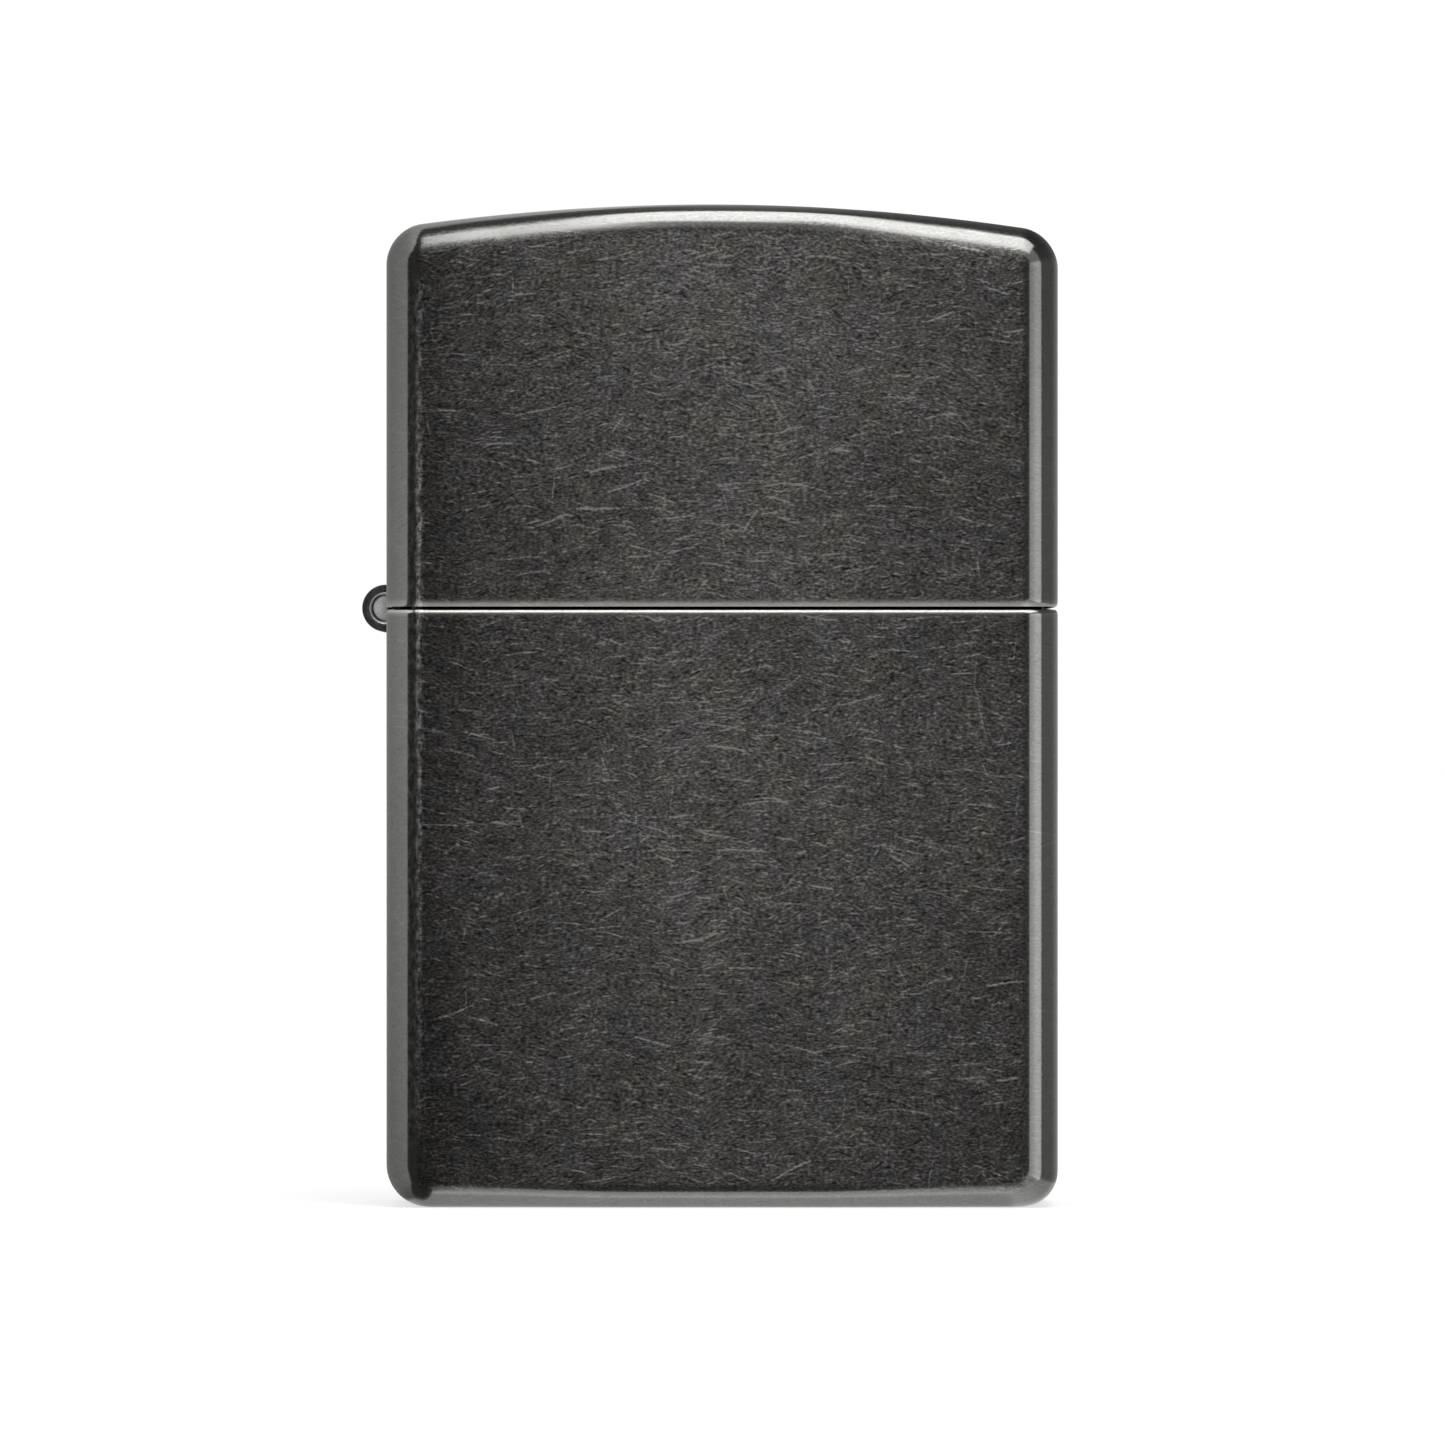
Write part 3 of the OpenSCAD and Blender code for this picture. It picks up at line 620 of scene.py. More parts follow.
# ---------------------------------------------------------------- metals and cloths
def metal(name, colour, rough, streak=(1, 1, 1), depth=0.00001, contrast=0.12, scale=3.0, metallic=1.0):
    """Drawn or ground metal: fine streaks, a few scratches and faint smudges."""
    m, t, b = material(name, metallic=metallic)
    p = t.obj_mm()
    g = t.noise(t.vmath("MULTIPLY", p, streak), scale, 3.0, 0.6)
    smudge = t.noise(p, 0.35, 4.0, 0.6, distortion=0.6)
    lv = t.remap(g, 0.25, 0.75, 1 - contrast, 1 + contrast * 0.4)
    lv = t.math("MULTIPLY", lv, t.remap(smudge, 0.3, 0.7, 0.93, 1.03))
    t.put(b.inputs["Base Color"], t.mix(1.0, (*colour, 1), t.rgb(lv, lv, lv), "MULTIPLY"))
    r = t.remap(g, 0.25, 0.75, rough * 0.8, rough * 1.35)
    t.put(b.inputs["Roughness"], t.math("ADD", r, t.remap(smudge, 0.45, 0.75, 0.0, 0.12)))
    t.put(b.inputs["Normal"], t.bump(g, 0.3, depth))
    return m, t, b


def insert_material():
    """Drawn steel of the tank, with a dark band of painted shade where the case's rim meets the lid's."""
    m, t, b = metal("insert_steel", (0.66, 0.66, 0.645), 0.22, (5, 5, 0.25))
    base = b.inputs["Base Color"].links[0].from_socket
    rough = b.inputs["Roughness"].links[0].from_socket
    ox, _, oz = t.xyz(t.obj_mm())
    wave = t.noise(t.obj_mm(), 1.2, 3.0, 0.6)
    away = t.math("ABSOLUTE", t.math("SUBTRACT", oz, 34.15))
    # painted shade: a dark band on the tank in the gap between the case halves
    painted_gap_shade = t.remap(t.math("MULTIPLY_ADD", wave, 0.05, away), 0.17, 0.33, 1.0, 0.0, smooth=True)
    t.put(b.inputs["Base Color"], t.mix(painted_gap_shade, base, (0.012, 0.011, 0.010, 1)))
    t.put(b.inputs["Roughness"], t.mixf(painted_gap_shade, rough, 0.65))
    return m


def chimney_material():
    """The windscreen's steel, tinted straw, brown and blue by the flame, with soot near the wick."""
    m, t, b = metal("chimney_steel", (0.68, 0.68, 0.665), 0.24, (5, 5, 0.3))
    base = b.inputs["Base Color"].links[0].from_socket
    rough = b.inputs["Roughness"].links[0].from_socket
    p = t.obj_mm()
    ox, oy, oz = t.xyz(p)
    flat = t.vec(t.math("ADD", ox, 1.6), oy, 0.0)
    far = t.vmath("LENGTH", flat)
    wob = t.math("SUBTRACT", t.noise(p, 0.55, 4.0, 0.65), 0.5)
    heat = t.math("ADD", t.remap(oz, 40.0, 50.6, 0.0, 1.0), t.math("MULTIPLY", wob, 0.9))
    heat = t.math("MULTIPLY", heat, t.remap(far, 5.2, 9.0, 1.0, 0.25))
    tint = t.mix(t.remap(heat, 0.25, 0.6, 0.0, 0.75, smooth=True), base, (0.60, 0.50, 0.33, 1))
    tint = t.mix(t.remap(heat, 0.62, 0.85, 0.0, 0.7, smooth=True), tint, (0.32, 0.24, 0.22, 1))
    tint = t.mix(t.remap(heat, 0.86, 1.05, 0.0, 0.6, smooth=True), tint, (0.24, 0.28, 0.38, 1))
    soot = t.math("ADD", t.remap(far, 4.45, 4.0, 0.0, 1.0), t.math("MULTIPLY", wob, 1.2))
    soot = t.math("MULTIPLY", t.remap(soot, 0.2, 0.9, 0.0, 0.9, smooth=True), t.remap(oz, 35.1, 38.0, 0.25, 1.0))
    inside = t.math("MULTIPLY", t.remap(ox, 6.0, 5.0), t.remap(oz, 35.0, 35.3))
    soot = t.math("MULTIPLY", soot, inside)
    t.put(b.inputs["Base Color"], t.mix(soot, tint, (0.02, 0.018, 0.016, 1)))
    t.put(b.inputs["Roughness"], t.mixf(soot, rough, 0.75))
    return m


def hinge_material():
    """The case's coat on the hinge, worn bright on the countersink round the pin."""
    m, t, b = metal("hinge_coat", (0.185, 0.183, 0.178), 0.38, (2, 0.4, 2), contrast=0.3)
    base = b.inputs["Base Color"].links[0].from_socket
    ox, oy, oz = t.xyz(t.obj_mm())
    away = t.vmath("LENGTH", t.vec(t.math("SUBTRACT", ox, float(AXIS[0])), t.math("SUBTRACT", oz, float(AXIS[2]))))
    ring = t.math("MULTIPLY", t.remap(away, 0.90, 0.93, 1.0, 0.0), t.remap(away, 0.79, 0.81))
    ring = t.math("MULTIPLY", ring, t.remap(t.math("ABSOLUTE", oy), 4.10, 4.16))
    # painted shade: the hinge darkened in the gap between the case halves
    t.put(b.inputs["Base Color"], t.mix(gap_shade_mask(t), t.mix(ring, base, (0.80, 0.80, 0.79, 1)), (0.006, 0.006, 0.006, 1)))
    return m


def gap_shade_mask(t):
    """1 in the gap between the case halves, inside the case's edge, where shade is painted dark."""
    ox, _, oz = t.xyz(t.obj_mm())
    line = t.remap(t.math("ABSOLUTE", t.math("SUBTRACT", oz, 34.15)), 0.14, 0.30, 1.0, 0.0)
    return t.math("MULTIPLY", line, t.remap(ox, -19.12, -19.04))


def pin_material():
    m, t, b = metal("pin_steel", (0.92, 0.92, 0.93), 0.46, (2, 1, 6), metallic=0.08, contrast=0.30, scale=2.4)
    base = b.inputs["Base Color"].links[0].from_socket
    # painted shade: the pin darkened in the gap between the case halves
    t.put(b.inputs["Base Color"], t.mix(gap_shade_mask(t), base, (0.006, 0.006, 0.006, 1)))
    return m


def wheel_material():
    """Hardened dark steel, rubbed bright on the tips of the teeth."""
    m, t, b = metal("wheel_steel", (0.36, 0.36, 0.355), 0.34, (1, 4, 1), contrast=0.25)
    base = b.inputs["Base Color"].links[0].from_socket
    ox, oy, oz = t.xyz(t.obj_mm())
    away = t.vmath("LENGTH", t.vec(t.math("SUBTRACT", ox, STRIKER_X), t.math("SUBTRACT", oz, WHEEL_Z)))
    tip = t.math("MULTIPLY", t.remap(away, WHEEL_R - 0.16, WHEEL_R - 0.02), 0.75)
    pit = t.remap(away, WHEEL_R - 0.36, WHEEL_R - 0.22, 0.85, 0.0)
    pit = t.math("MULTIPLY", pit, t.remap(away, 2.62, 2.75))
    c = t.mix(tip, base, (0.66, 0.66, 0.65, 1))
    t.put(b.inputs["Base Color"], t.mix(pit, c, (0.05, 0.046, 0.042, 1)))
    return m


def fibre(name, colour, scale, dark=0.78, stretch=(1, 1, 1), depth=0.00012):
    """Cotton or felt: tangled fibres, matt, with a soft sheen."""
    m, t, b = material(name)
    p = t.vmath("MULTIPLY", t.obj_mm(), stretch)
    fine = t.noise(p, scale, 5.0, 0.75, distortion=1.2)
    cloud = t.noise(p, scale * 0.12, 3.0, 0.6)
    lv = t.math("MULTIPLY", t.remap(fine, 0.3, 0.7, dark, 1.06), t.remap(cloud, 0.3, 0.7, 0.93, 1.04))
    colour = t.mix(1.0, (*colour, 1), t.rgb(lv, lv, lv), "MULTIPLY")
    t.put(b.inputs["Base Color"], colour)
    b.inputs["Roughness"].default_value = 0.92
    b.inputs["Sheen Weight"].default_value = 0.35
    b.inputs["Sheen Roughness"].default_value = 0.5
    t.put(b.inputs["Normal"], t.bump(fine, 0.9, depth))
    return m, t, b


WICK_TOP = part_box("wick")[1][2] / MM
wheel_lo, wheel_hi = (np.array(v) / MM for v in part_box("striker_wheel"))
STRIKER_X = float((wheel_lo[0] + wheel_hi[0]) / 2)
WHEEL_Z = float((wheel_lo[2] + wheel_hi[2]) / 2)
WHEEL_R = 3.35
WHEEL_W = float(wheel_hi[1] - wheel_lo[1])


def wick_material():
    """White cotton, browned and then charred towards the tip."""
    m, t, b = fibre("wick_cotton", (0.80, 0.76, 0.66), 7.0)
    base = b.inputs["Base Color"].links[0].from_socket
    oz = t.xyz(t.obj_mm())[2]
    wob = t.math("MULTIPLY", t.math("SUBTRACT", t.noise(t.obj_mm(), 2.0, 3.0, 0.6), 0.5), 1.6)
    z = t.math("ADD", oz, wob)
    c = t.mix(t.remap(z, WICK_TOP - 4.6, WICK_TOP - 2.6, 0.0, 0.85, smooth=True), base, (0.30, 0.19, 0.10, 1))
    c = t.mix(t.remap(z, WICK_TOP - 3.0, WICK_TOP - 1.5, 0.0, 1.0, smooth=True), c, (0.022, 0.020, 0.019, 1))
    t.put(b.inputs["Base Color"], c)
    return m


MATS = {
    "case_coat": hinge_material(),
    "pin_steel": pin_material(),
    "insert_steel": insert_material(),
    "chimney_steel": chimney_material(),
    "cam_steel": metal("cam_steel", (0.56, 0.56, 0.55), 0.33, (1, 4, 1), contrast=0.2)[0],
    "rivet_steel": metal("rivet_steel", (0.64, 0.64, 0.63), 0.26, contrast=0.2)[0],
    "wheel_steel": wheel_material(),
    "spring_steel": metal("spring_steel", (0.52, 0.53, 0.54), 0.28, contrast=0.2)[0],
    "tube_brass": metal("tube_brass", (0.80, 0.58, 0.27), 0.26, (4, 4, 0.4), contrast=0.2)[0],
    "screw_brass": metal("screw_brass", (0.80, 0.58, 0.27), 0.26, (1, 1, 4), contrast=0.2)[0],
    "flint_alloy": metal("flint_alloy", (0.20, 0.19, 0.18), 0.55, (1, 1, 1), 0.00004, 0.35)[0],
    "copper_wire": metal("copper_wire", (0.80, 0.42, 0.26), 0.3, (1, 1, 1))[0],
    "wick_cotton": wick_material(),
    "wadding_cotton": fibre("wadding_cotton", (0.86, 0.85, 0.82), 3.0, 0.80, depth=0.0002)[0],
    "felt": fibre("felt", (0.70, 0.68, 0.62), 5.0, 0.72)[0],
}
slots = {s["node"]: s["material_slot"] for s in frame["record"]["subparts"]}
bodies = {n: body for body, ns in frame["record"]["behaviour"]["bodies"].items() for n in ns}


# ---------------------------------------------------------------- mesh helpers
def piece(name, verts, faces, node, mat=None, sharp=35):
    """A mesh from points in mm, riding where its CAD node rides and standing for it."""
    me = bpy.data.meshes.new(name)
    me.from_pydata([tuple(float(c) * MM for c in v) for v in verts], [], faces)
    o = bpy.data.objects.new(name, me)
    bpy.context.scene.collection.objects.link(o)
    return dress(o, node, mat, sharp)


def dress(o, node, mat=None, sharp=35):
    bm = bmesh.new()
    bm.from_mesh(o.data)
    bmesh.ops.recalc_face_normals(bm, faces=bm.faces)
    bm.to_mesh(o.data)
    bm.free()
    o.data.materials.clear()
    o.data.materials.append(mat or MATS[slots[node]])
    o.data.shade_smooth()
    if sharp:
        o.data.set_sharp_from_angle(angle=math.radians(sharp))
    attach(o, bodies[node])
    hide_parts(node)
    return o


def lathe_mesh(profile, centre, axis, n=48, wobble=None):
    """Turns a profile of (radius, height) points; a radius of 0 closes an end."""
    verts, rows = [], []
    for k, (r, h) in enumerate(profile):
        if r < 1e-6:
            rows.append([len(verts)] * n)
            verts.append((0.0, 0.0, h))
            continue
        row = []
        for i in range(n):
            a = 2 * math.pi * i / n
            rr = r if wobble is None else wobble(r, h, a, k)
            row.append(len(verts))
            verts.append((rr * math.cos(a), rr * math.sin(a), h))
        rows.append(row)
    closed = profile[0] == profile[-1]
    if closed:
        rows[-1] = rows[0]
    faces = []
    for a, b in zip(rows, rows[1:]):
        for i in range(n):
            j = (i + 1) % n
            q = []
            for v in (a[i], a[j], b[j], b[i]):
                if v not in q:
                    q.append(v)
            if len(q) > 2:
                faces.append(q)
    used = sorted({v for f in faces for v in f})
    new = {v: i for i, v in enumerate(used)}
    faces = [[new[v] for v in f] for f in faces]
    cx, cy, cz = centre
    out = []
    for v in used:
        x, y, h = verts[v]
        out.append((cx + x, cy + h, cz + y) if axis == "y" else (cx + x, cy + y, cz + h))
    return out, faces


def tube_mesh(path, radius, sides=8, verts=None, faces=None):
    """A closed tube along points in mm; radius is one number or one for each point."""
    path = np.asarray(path, float)
    n = len(path)
    radius = np.broadcast_to(radius, (n,))
    tan = np.gradient(path, axis=0)
    tan /= np.linalg.norm(tan, axis=1)[:, None]
    ref = np.array([0.0, 1.0, 0.0]) if abs(tan[0][1]) < 0.9 else np.array([1.0, 0.0, 0.0])
    verts = [] if verts is None else verts
    faces = [] if faces is None else faces
    start = len(verts)
    u = np.cross(tan[0], ref)
    for i in range(n):
        u = u - tan[i] * np.dot(u, tan[i])
        u /= np.linalg.norm(u)
        w = np.cross(tan[i], u)
        for k in range(sides):
            a = 2 * math.pi * k / sides
            verts.append(path[i] + radius[i] * (math.cos(a) * u + math.sin(a) * w))
    for i in range(n - 1):
        for k in range(sides):
            a, b = start + i * sides + k, start + i * sides + (k + 1) % sides
            faces.append([a, b, b + sides, a + sides])
    faces.append([start + k for k in range(sides)][::-1])
    faces.append([start + (n - 1) * sides + k for k in range(sides)])
    return verts, faces


def softened(node, width, segments=2, angle=38, mat=None, name=None):
    """The CAD node's own shape with its sharp edges rounded over, as pressed or tumbled metal has them."""
    src = nodes[node].data
    bm = bmesh.new()
    bm.from_mesh(src)
    bmesh.ops.remove_doubles(bm, verts=bm.verts, dist=1e-7)
    bmesh.ops.dissolve_limit(bm, angle_limit=math.radians(1.0), verts=bm.verts, edges=bm.edges)
    before = abs(bm.calc_volume())
    edges = [e for e in bm.edges if len(e.link_faces) == 2 and e.calc_face_angle(0) > math.radians(angle)]
    bmesh.ops.bevel(bm, geom=edges, offset=width * MM, offset_type="OFFSET", segments=segments, profile=0.5,
                    affect="EDGES", clamp_overlap=True, harden_normals=False)
    bmesh.ops.triangulate(bm, faces=[f for f in bm.faces if len(f.verts) > 4])
    bmesh.ops.remove_doubles(bm, verts=bm.verts, dist=1e-7)
    open_edges = [e for e in bm.edges if len(e.link_faces) != 2]
    after = abs(bm.calc_volume())
    if open_edges or abs(after - before) > before * 0.08:
        print("SOFTEN", node, "open", len(open_edges), "volume", before, after)
        bm.free()
        return None
    me = bpy.data.meshes.new(name or node + "_formed")
    bm.to_mesh(me)
    bm.free()
    o = bpy.data.objects.new(name or node + "_formed", me)
    bpy.context.scene.collection.objects.link(o)
    o.matrix_world = nodes[node].matrix_world
    return dress(o, node, mat, sharp=40)


# ---------------------------------------------------------------- hinge
for node in ("hinge_leaf_base", "hinge_leaf_lid"):
    softened(node, 0.06)
lo, hi = (np.array(v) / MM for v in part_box("hinge_pin"))
half = (hi[1] - lo[1]) / 2
pr = (hi[0] - lo[0]) / 2
end = [(0, half), (pr * 0.40, half - 0.008), (pr * 0.72, half - 0.028), (pr * 0.90, half - 0.055),
       (pr * 0.96, half - 0.12), (pr, half - 0.28)]
profile = end + [(r, -h) for r, h in reversed(end)]
piece("hinge_pin_peened", *lathe_mesh(profile, (AXIS[0], 0, AXIS[2]), "y", 40), "hinge_pin")

# ---------------------------------------------------------------- tank, windscreen, cam
softened("insert_tank", 0.12, 3)
softened("chimney", 0.10, 2, mat=MATS["chimney_steel"])
softened("cam", 0.16, 3)
softened("flint_tube", 0.10, 2)
softened("flint", 0.12, 2)
softened("flint_plunger", 0.12, 2)


def domed_rivet(name, node, shaft, head, length, h, centre, axis, bottom=None):
    """A rivet with two domed heads; its shaft runs between them."""
    lo_z, hi_z = length
    top = [(0, hi_z + h)] + [(head * math.sin(a), hi_z + h * (0.25 + 0.75 * math.cos(a)))
                             for a in np.linspace(0.2, math.pi / 2, 7)] + [(head * 0.985, hi_z + 0.03), (head * 0.95, hi_z)]
    bh = h if bottom is None else bottom[1]
    br = head if bottom is None else bottom[0]
    low = [(0, lo_z - bh)] + [(br * math.sin(a), lo_z - bh * (0.25 + 0.75 * math.cos(a)))
                              for a in np.linspace(0.2, math.pi / 2, 7)] + [(br * 0.985, lo_z - 0.03), (br * 0.95, lo_z)]
    profile = top + [(shaft, hi_z), (shaft, lo_z)] + low[::-1]
    return piece(name, *lathe_mesh(profile, centre, axis, 40), node)


def middle(node):
    lo, hi = (np.array(v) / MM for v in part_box(node))
    return (lo + hi) / 2, (hi - lo) / 2


c, h = middle("wheel_rivet")
domed_rivet("wheel_rivet_domed", "wheel_rivet", 1.0, h[0], (-h[1] + 0.4, h[1] - 0.4), 0.4, c, "y")
c, h = middle("cam_rivet")
domed_rivet("cam_rivet_domed", "cam_rivet", 0.65, h[0], (-h[1] + 0.35, h[1] - 0.35), 0.35, c, "y")
c, h = middle("cam_spring_rivet")
domed_rivet("cam_spring_rivet_domed", "cam_spring_rivet", 0.6, 0.95, (-h[2] + 0.3, h[2] - 0.35), 0.35, c, "z", bottom=(1.0, 0.3))

# ---------------------------------------------------------------- cam spring: the CAD leaf with its edges rounded, cut across along its length
src = nodes["cam_spring"].data
bm = bmesh.new()
bm.from_mesh(src)
bmesh.ops.remove_doubles(bm, verts=bm.verts, dist=1e-7)
bmesh.ops.dissolve_limit(bm, angle_limit=math.radians(1.0), verts=bm.verts, edges=bm.edges)
edges = [e for e in bm.edges if e.calc_face_angle(0) > math.radians(50)]
bmesh.ops.bevel(bm, geom=edges, offset=0.05 * MM, segments=2, profile=0.5, affect="EDGES", clamp_overlap=True)
lo, hi = (np.array(v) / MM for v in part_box("cam_spring"))
for x in np.arange(lo[0] + 0.3, -9.0, 0.3):
    bmesh.ops.bisect_plane(bm, geom=list(bm.verts) + list(bm.edges) + list(bm.faces), plane_co=(x * MM, 0, 0), plane_no=(1, 0, 0))
bmesh.ops.triangulate(bm, faces=[f for f in bm.faces if len(f.verts) > 4])
me = bpy.data.meshes.new("cam_spring_leaf")
bm.to_mesh(me)
bm.free()
spring = bpy.data.objects.new("cam_spring_leaf", me)
bpy.context.scene.collection.objects.link(spring)
me.materials.clear()
me.materials.append(MATS["spring_steel"])
me.shade_smooth()
me.set_sharp_from_angle(angle=math.radians(40))
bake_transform(spring)
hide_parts("cam_spring")


# ---------------------------------------------------------------- striker wheel: cross-cut middle, ribbed thumb bands
def saw(v):
    v = v - math.floor(v)
    return v / 0.3 if v < 0.3 else 1 - (v - 0.3) / 0.7


def wheel_radius(a, y):
    turns = a / (2 * math.pi)
    w = WHEEL_W / 2
    if abs(y) < 1.55:
        cut = saw(30 * turns + 0.42 * y) * (0.55 + 0.45 * saw(30 * turns - 0.9 * y))
        return WHEEL_R - 0.30 + 0.28 * cut
    if abs(y) < 1.75:
        return WHEEL_R - 0.42
    if abs(y) < w - 0.6:
        rib = saw(30 * turns)
        return WHEEL_R - 0.36 + 0.36 * min(1.0, rib * 1.25)
    return None


hub = WHEEL_R - 0.75
w = WHEEL_W / 2
ys = [-w + 0.6] + list(np.linspace(-w + 0.64, -1.78, 6)) + [-1.72, -1.60] + list(np.linspace(-1.54, 1.54, 19)) + \
     [1.60, 1.72] + list(np.linspace(1.78, w - 0.64, 6)) + [w - 0.6]
rows = [(None, y) for y in ys[1:-1]]
rows = [(hub - 0.10, -w), (hub, -w + 0.10), (hub, -w + 0.60), (WHEEL_R - 0.5, -w + 0.60)] + rows + \
       [(WHEEL_R - 0.5, w - 0.60), (hub, w - 0.60), (hub, w - 0.10), (hub - 0.10, w), (1.25, w), (1.05, w - 0.15),
        (1.05, -w + 0.15), (1.25, -w)]
n = 360
verts, faces = [], []
for r, y in rows:
    for i in range(n):
        a = 2 * math.pi * i / n
        rr = r if r is not None else wheel_radius(a, y)
        verts.append((STRIKER_X + rr * math.cos(a), y, WHEEL_Z + rr * math.sin(a)))
for k in range(len(rows)):
    for i in range(n):
        j, q = (i + 1) % n, (k + 1) % len(rows)
        faces.append([k * n + i, k * n + j, q * n + j, q * n + i])
piece("striker_wheel_cut", verts, faces, "striker_wheel", sharp=30)

# ---------------------------------------------------------------- flint spring and screw
lo, hi = (np.array(v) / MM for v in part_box("flint_spring"))
turns, wire, coil = 17, 0.19, 0.92
path = []
steps = turns * 28
for i in range(steps + 1):
    f = turns * i / steps
    # end turns lie closed, the others are evenly open
    lift = min(f, 1.0) * 0.42 + max(0.0, min(f, turns - 1.0) - 1.0) / (turns - 2.0) * (hi[2] - lo[2] - 2 * wire - 0.84) + \
        max(0.0, f - (turns - 1.0)) * 0.42
    path.append((STRIKER_X + coil * math.cos(2 * math.pi * f), coil * math.sin(2 * math.pi * f), lo[2] + wire + lift))
coilspring = piece("flint_spring_wound", *tube_mesh(path, wire, 10), "flint_spring")
feed = joints["flint_feed"]
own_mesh(coilspring)

lo, hi = (np.array(v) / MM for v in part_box("flint_screw"))
head_h, head_r, core_r = 1.55, 2.6, 1.25
profile = [(0, 0), (head_r - 0.35, 0), (head_r - 0.12, 0.06), (head_r, 0.22)]
profile += [(head_r, z) for z in np.linspace(0.3, head_h - 0.3, 5)] + [(head_r, head_h - 0.2), (head_r - 0.15, head_h)]
profile += [(core_r, head_h)]
z = head_h + 0.15
while z < hi[2] - lo[2] - 0.3:
    profile.append((core_r, z))
    z += 0.07
profile += [(core_r - 0.1, hi[2] - lo[2] - 0.12), (core_r - 0.25, hi[2] - lo[2]), (0, hi[2] - lo[2])]


def screw_shape(r, h, a, k):
    if abs(r - head_r) < 1e-6 and 0.25 < h < head_h - 0.22:
        return r - 0.10 * abs(math.sin(a * 24)) ** 0.7            # knurled rim
    if abs(r - core_r) < 1e-6 and h > head_h + 0.1:
        ph = (h / 0.5 - a / (2 * math.pi)) % 1.0
        return r - 0.17 * abs(2 * ph - 1)                         # thread
    return r


screw = piece("flint_screw_cut", *lathe_mesh(profile, (STRIKER_X, 0, lo[2]), "z", 96, screw_shape), "flint_screw", sharp=32)
parent = screw.parent
cut(screw, (STRIKER_X - 3.2, -0.42, lo[2] - 1.0), (STRIKER_X + 3.2, 0.42, lo[2] + 0.7))
screw.data.set_sharp_from_angle(angle=math.radians(32))

# ---------------------------------------------------------------- wick: eight braided strands on a core, with copper wires
wx = -1.6
pts = [(wx, 0, z) for z in np.arange(WICK_TOP - 0.5, 27.5, -0.3)]
pts += [(wx - 3.0 + 3.0 * math.cos(a), 0, 27.5 + 3.0 * math.sin(a)) for a in np.linspace(0, -math.pi / 2, 16)]
pts += [(x, 0, 24.5) for x in np.arange(wx - 3.3, -11.5, -0.3)]
pts += [(-11.5 + 3.2 * math.cos(a), 0, 21.3 + 3.2 * math.sin(a)) for a in np.linspace(math.pi / 2, 3 * math.pi / 2, 34)]
pts += [(x, 0, 18.1) for x in np.arange(-11.2, 3.5, 0.3)]
pts += [(3.5 + 3.2 * math.cos(a), 0, 14.9 + 3.2 * math.sin(a)) for a in np.linspace(math.pi / 2, -math.pi / 2, 34)]
pts += [(x, 0, 11.7) for x in np.arange(3.2, -11.45, -0.3)]
route = np.array(pts)
seg = np.linalg.norm(np.diff(route, axis=0), axis=1)
dist_along = np.concatenate([[0], np.cumsum(seg)])
total_len = dist_along[-1]
s_new = np.arange(0, total_len, 0.32)
route = np.stack([np.interp(s_new, dist_along, route[:, k]) for k in range(3)], 1)
tangent = np.gradient(route, axis=0)
tangent /= np.linalg.norm(tangent, axis=1)[:, None]
side_v = np.broadcast_to(np.array([0.0, 1.0, 0.0]), route.shape)
up_v = np.cross(tangent, side_v)
pitch = 6.4


def strand(turn, k, r0, wave, twist=1.0, phase=0.0):
    ang = turn * 2 * math.pi * s_new / pitch * twist + 2 * math.pi * k / 4 + phase
    rad = r0 + turn * wave * np.cos(8 * math.pi * s_new / pitch)
    return route + rad[:, None] * (np.cos(ang)[:, None] * side_v + np.sin(ang)[:, None] * up_v)


verts, faces = [], []
tube_mesh(route, 0.78, 10, verts, faces)
for turn in (1, -1):
    for k in range(4):
        tube_mesh(strand(turn, k, 0.87, 0.10), 0.30, 7, verts, faces)
rnd = random.Random(5)
for k in range(90):                                  # loose ends at the burnt tip
    a, r = rnd.uniform(0, 2 * math.pi), math.sqrt(rnd.random()) * 0.95
    lean_x, lean_y = rnd.uniform(-0.25, 0.25), rnd.uniform(-0.25, 0.25)
    top = WICK_TOP - rnd.uniform(0.02, 0.45)
    bx, by = wx + r * math.cos(a), r * math.sin(a)
    tx = bx + lean_x
    ty = by + lean_y
    lim = math.hypot(tx - wx, ty)
    if lim > 1.2:
        tx, ty = wx + (tx - wx) * 1.2 / lim, ty * 1.2 / lim
    tube_mesh([(bx, by, WICK_TOP - 1.1), (bx + (tx - bx) * 0.3, by + (ty - by) * 0.3, WICK_TOP - 0.75), (tx, ty, top)],
              [0.07, 0.06, 0.03], 4, verts, faces)
piece("wick_braid", verts, faces, "wick", sharp=0)
verts, faces = [], []
for k in (0, 2):
    tube_mesh(strand(1, k, 1.19, 0.06, phase=0.55), 0.045, 5, verts, faces)
copper = piece("wick_copper", verts, faces, "wick", mat=MATS["copper_wire"], sharp=0)


# ---------------------------------------------------------------- wadding and felt: lumpy fibre
def noise_at(co, scale, seed):
    from mathutils import noise as mn
    return np.array([mn.fractal(Vector((c[0] * scale + seed, c[1] * scale, c[2] * scale)), 0.6, 2.1, 4) for c in co])


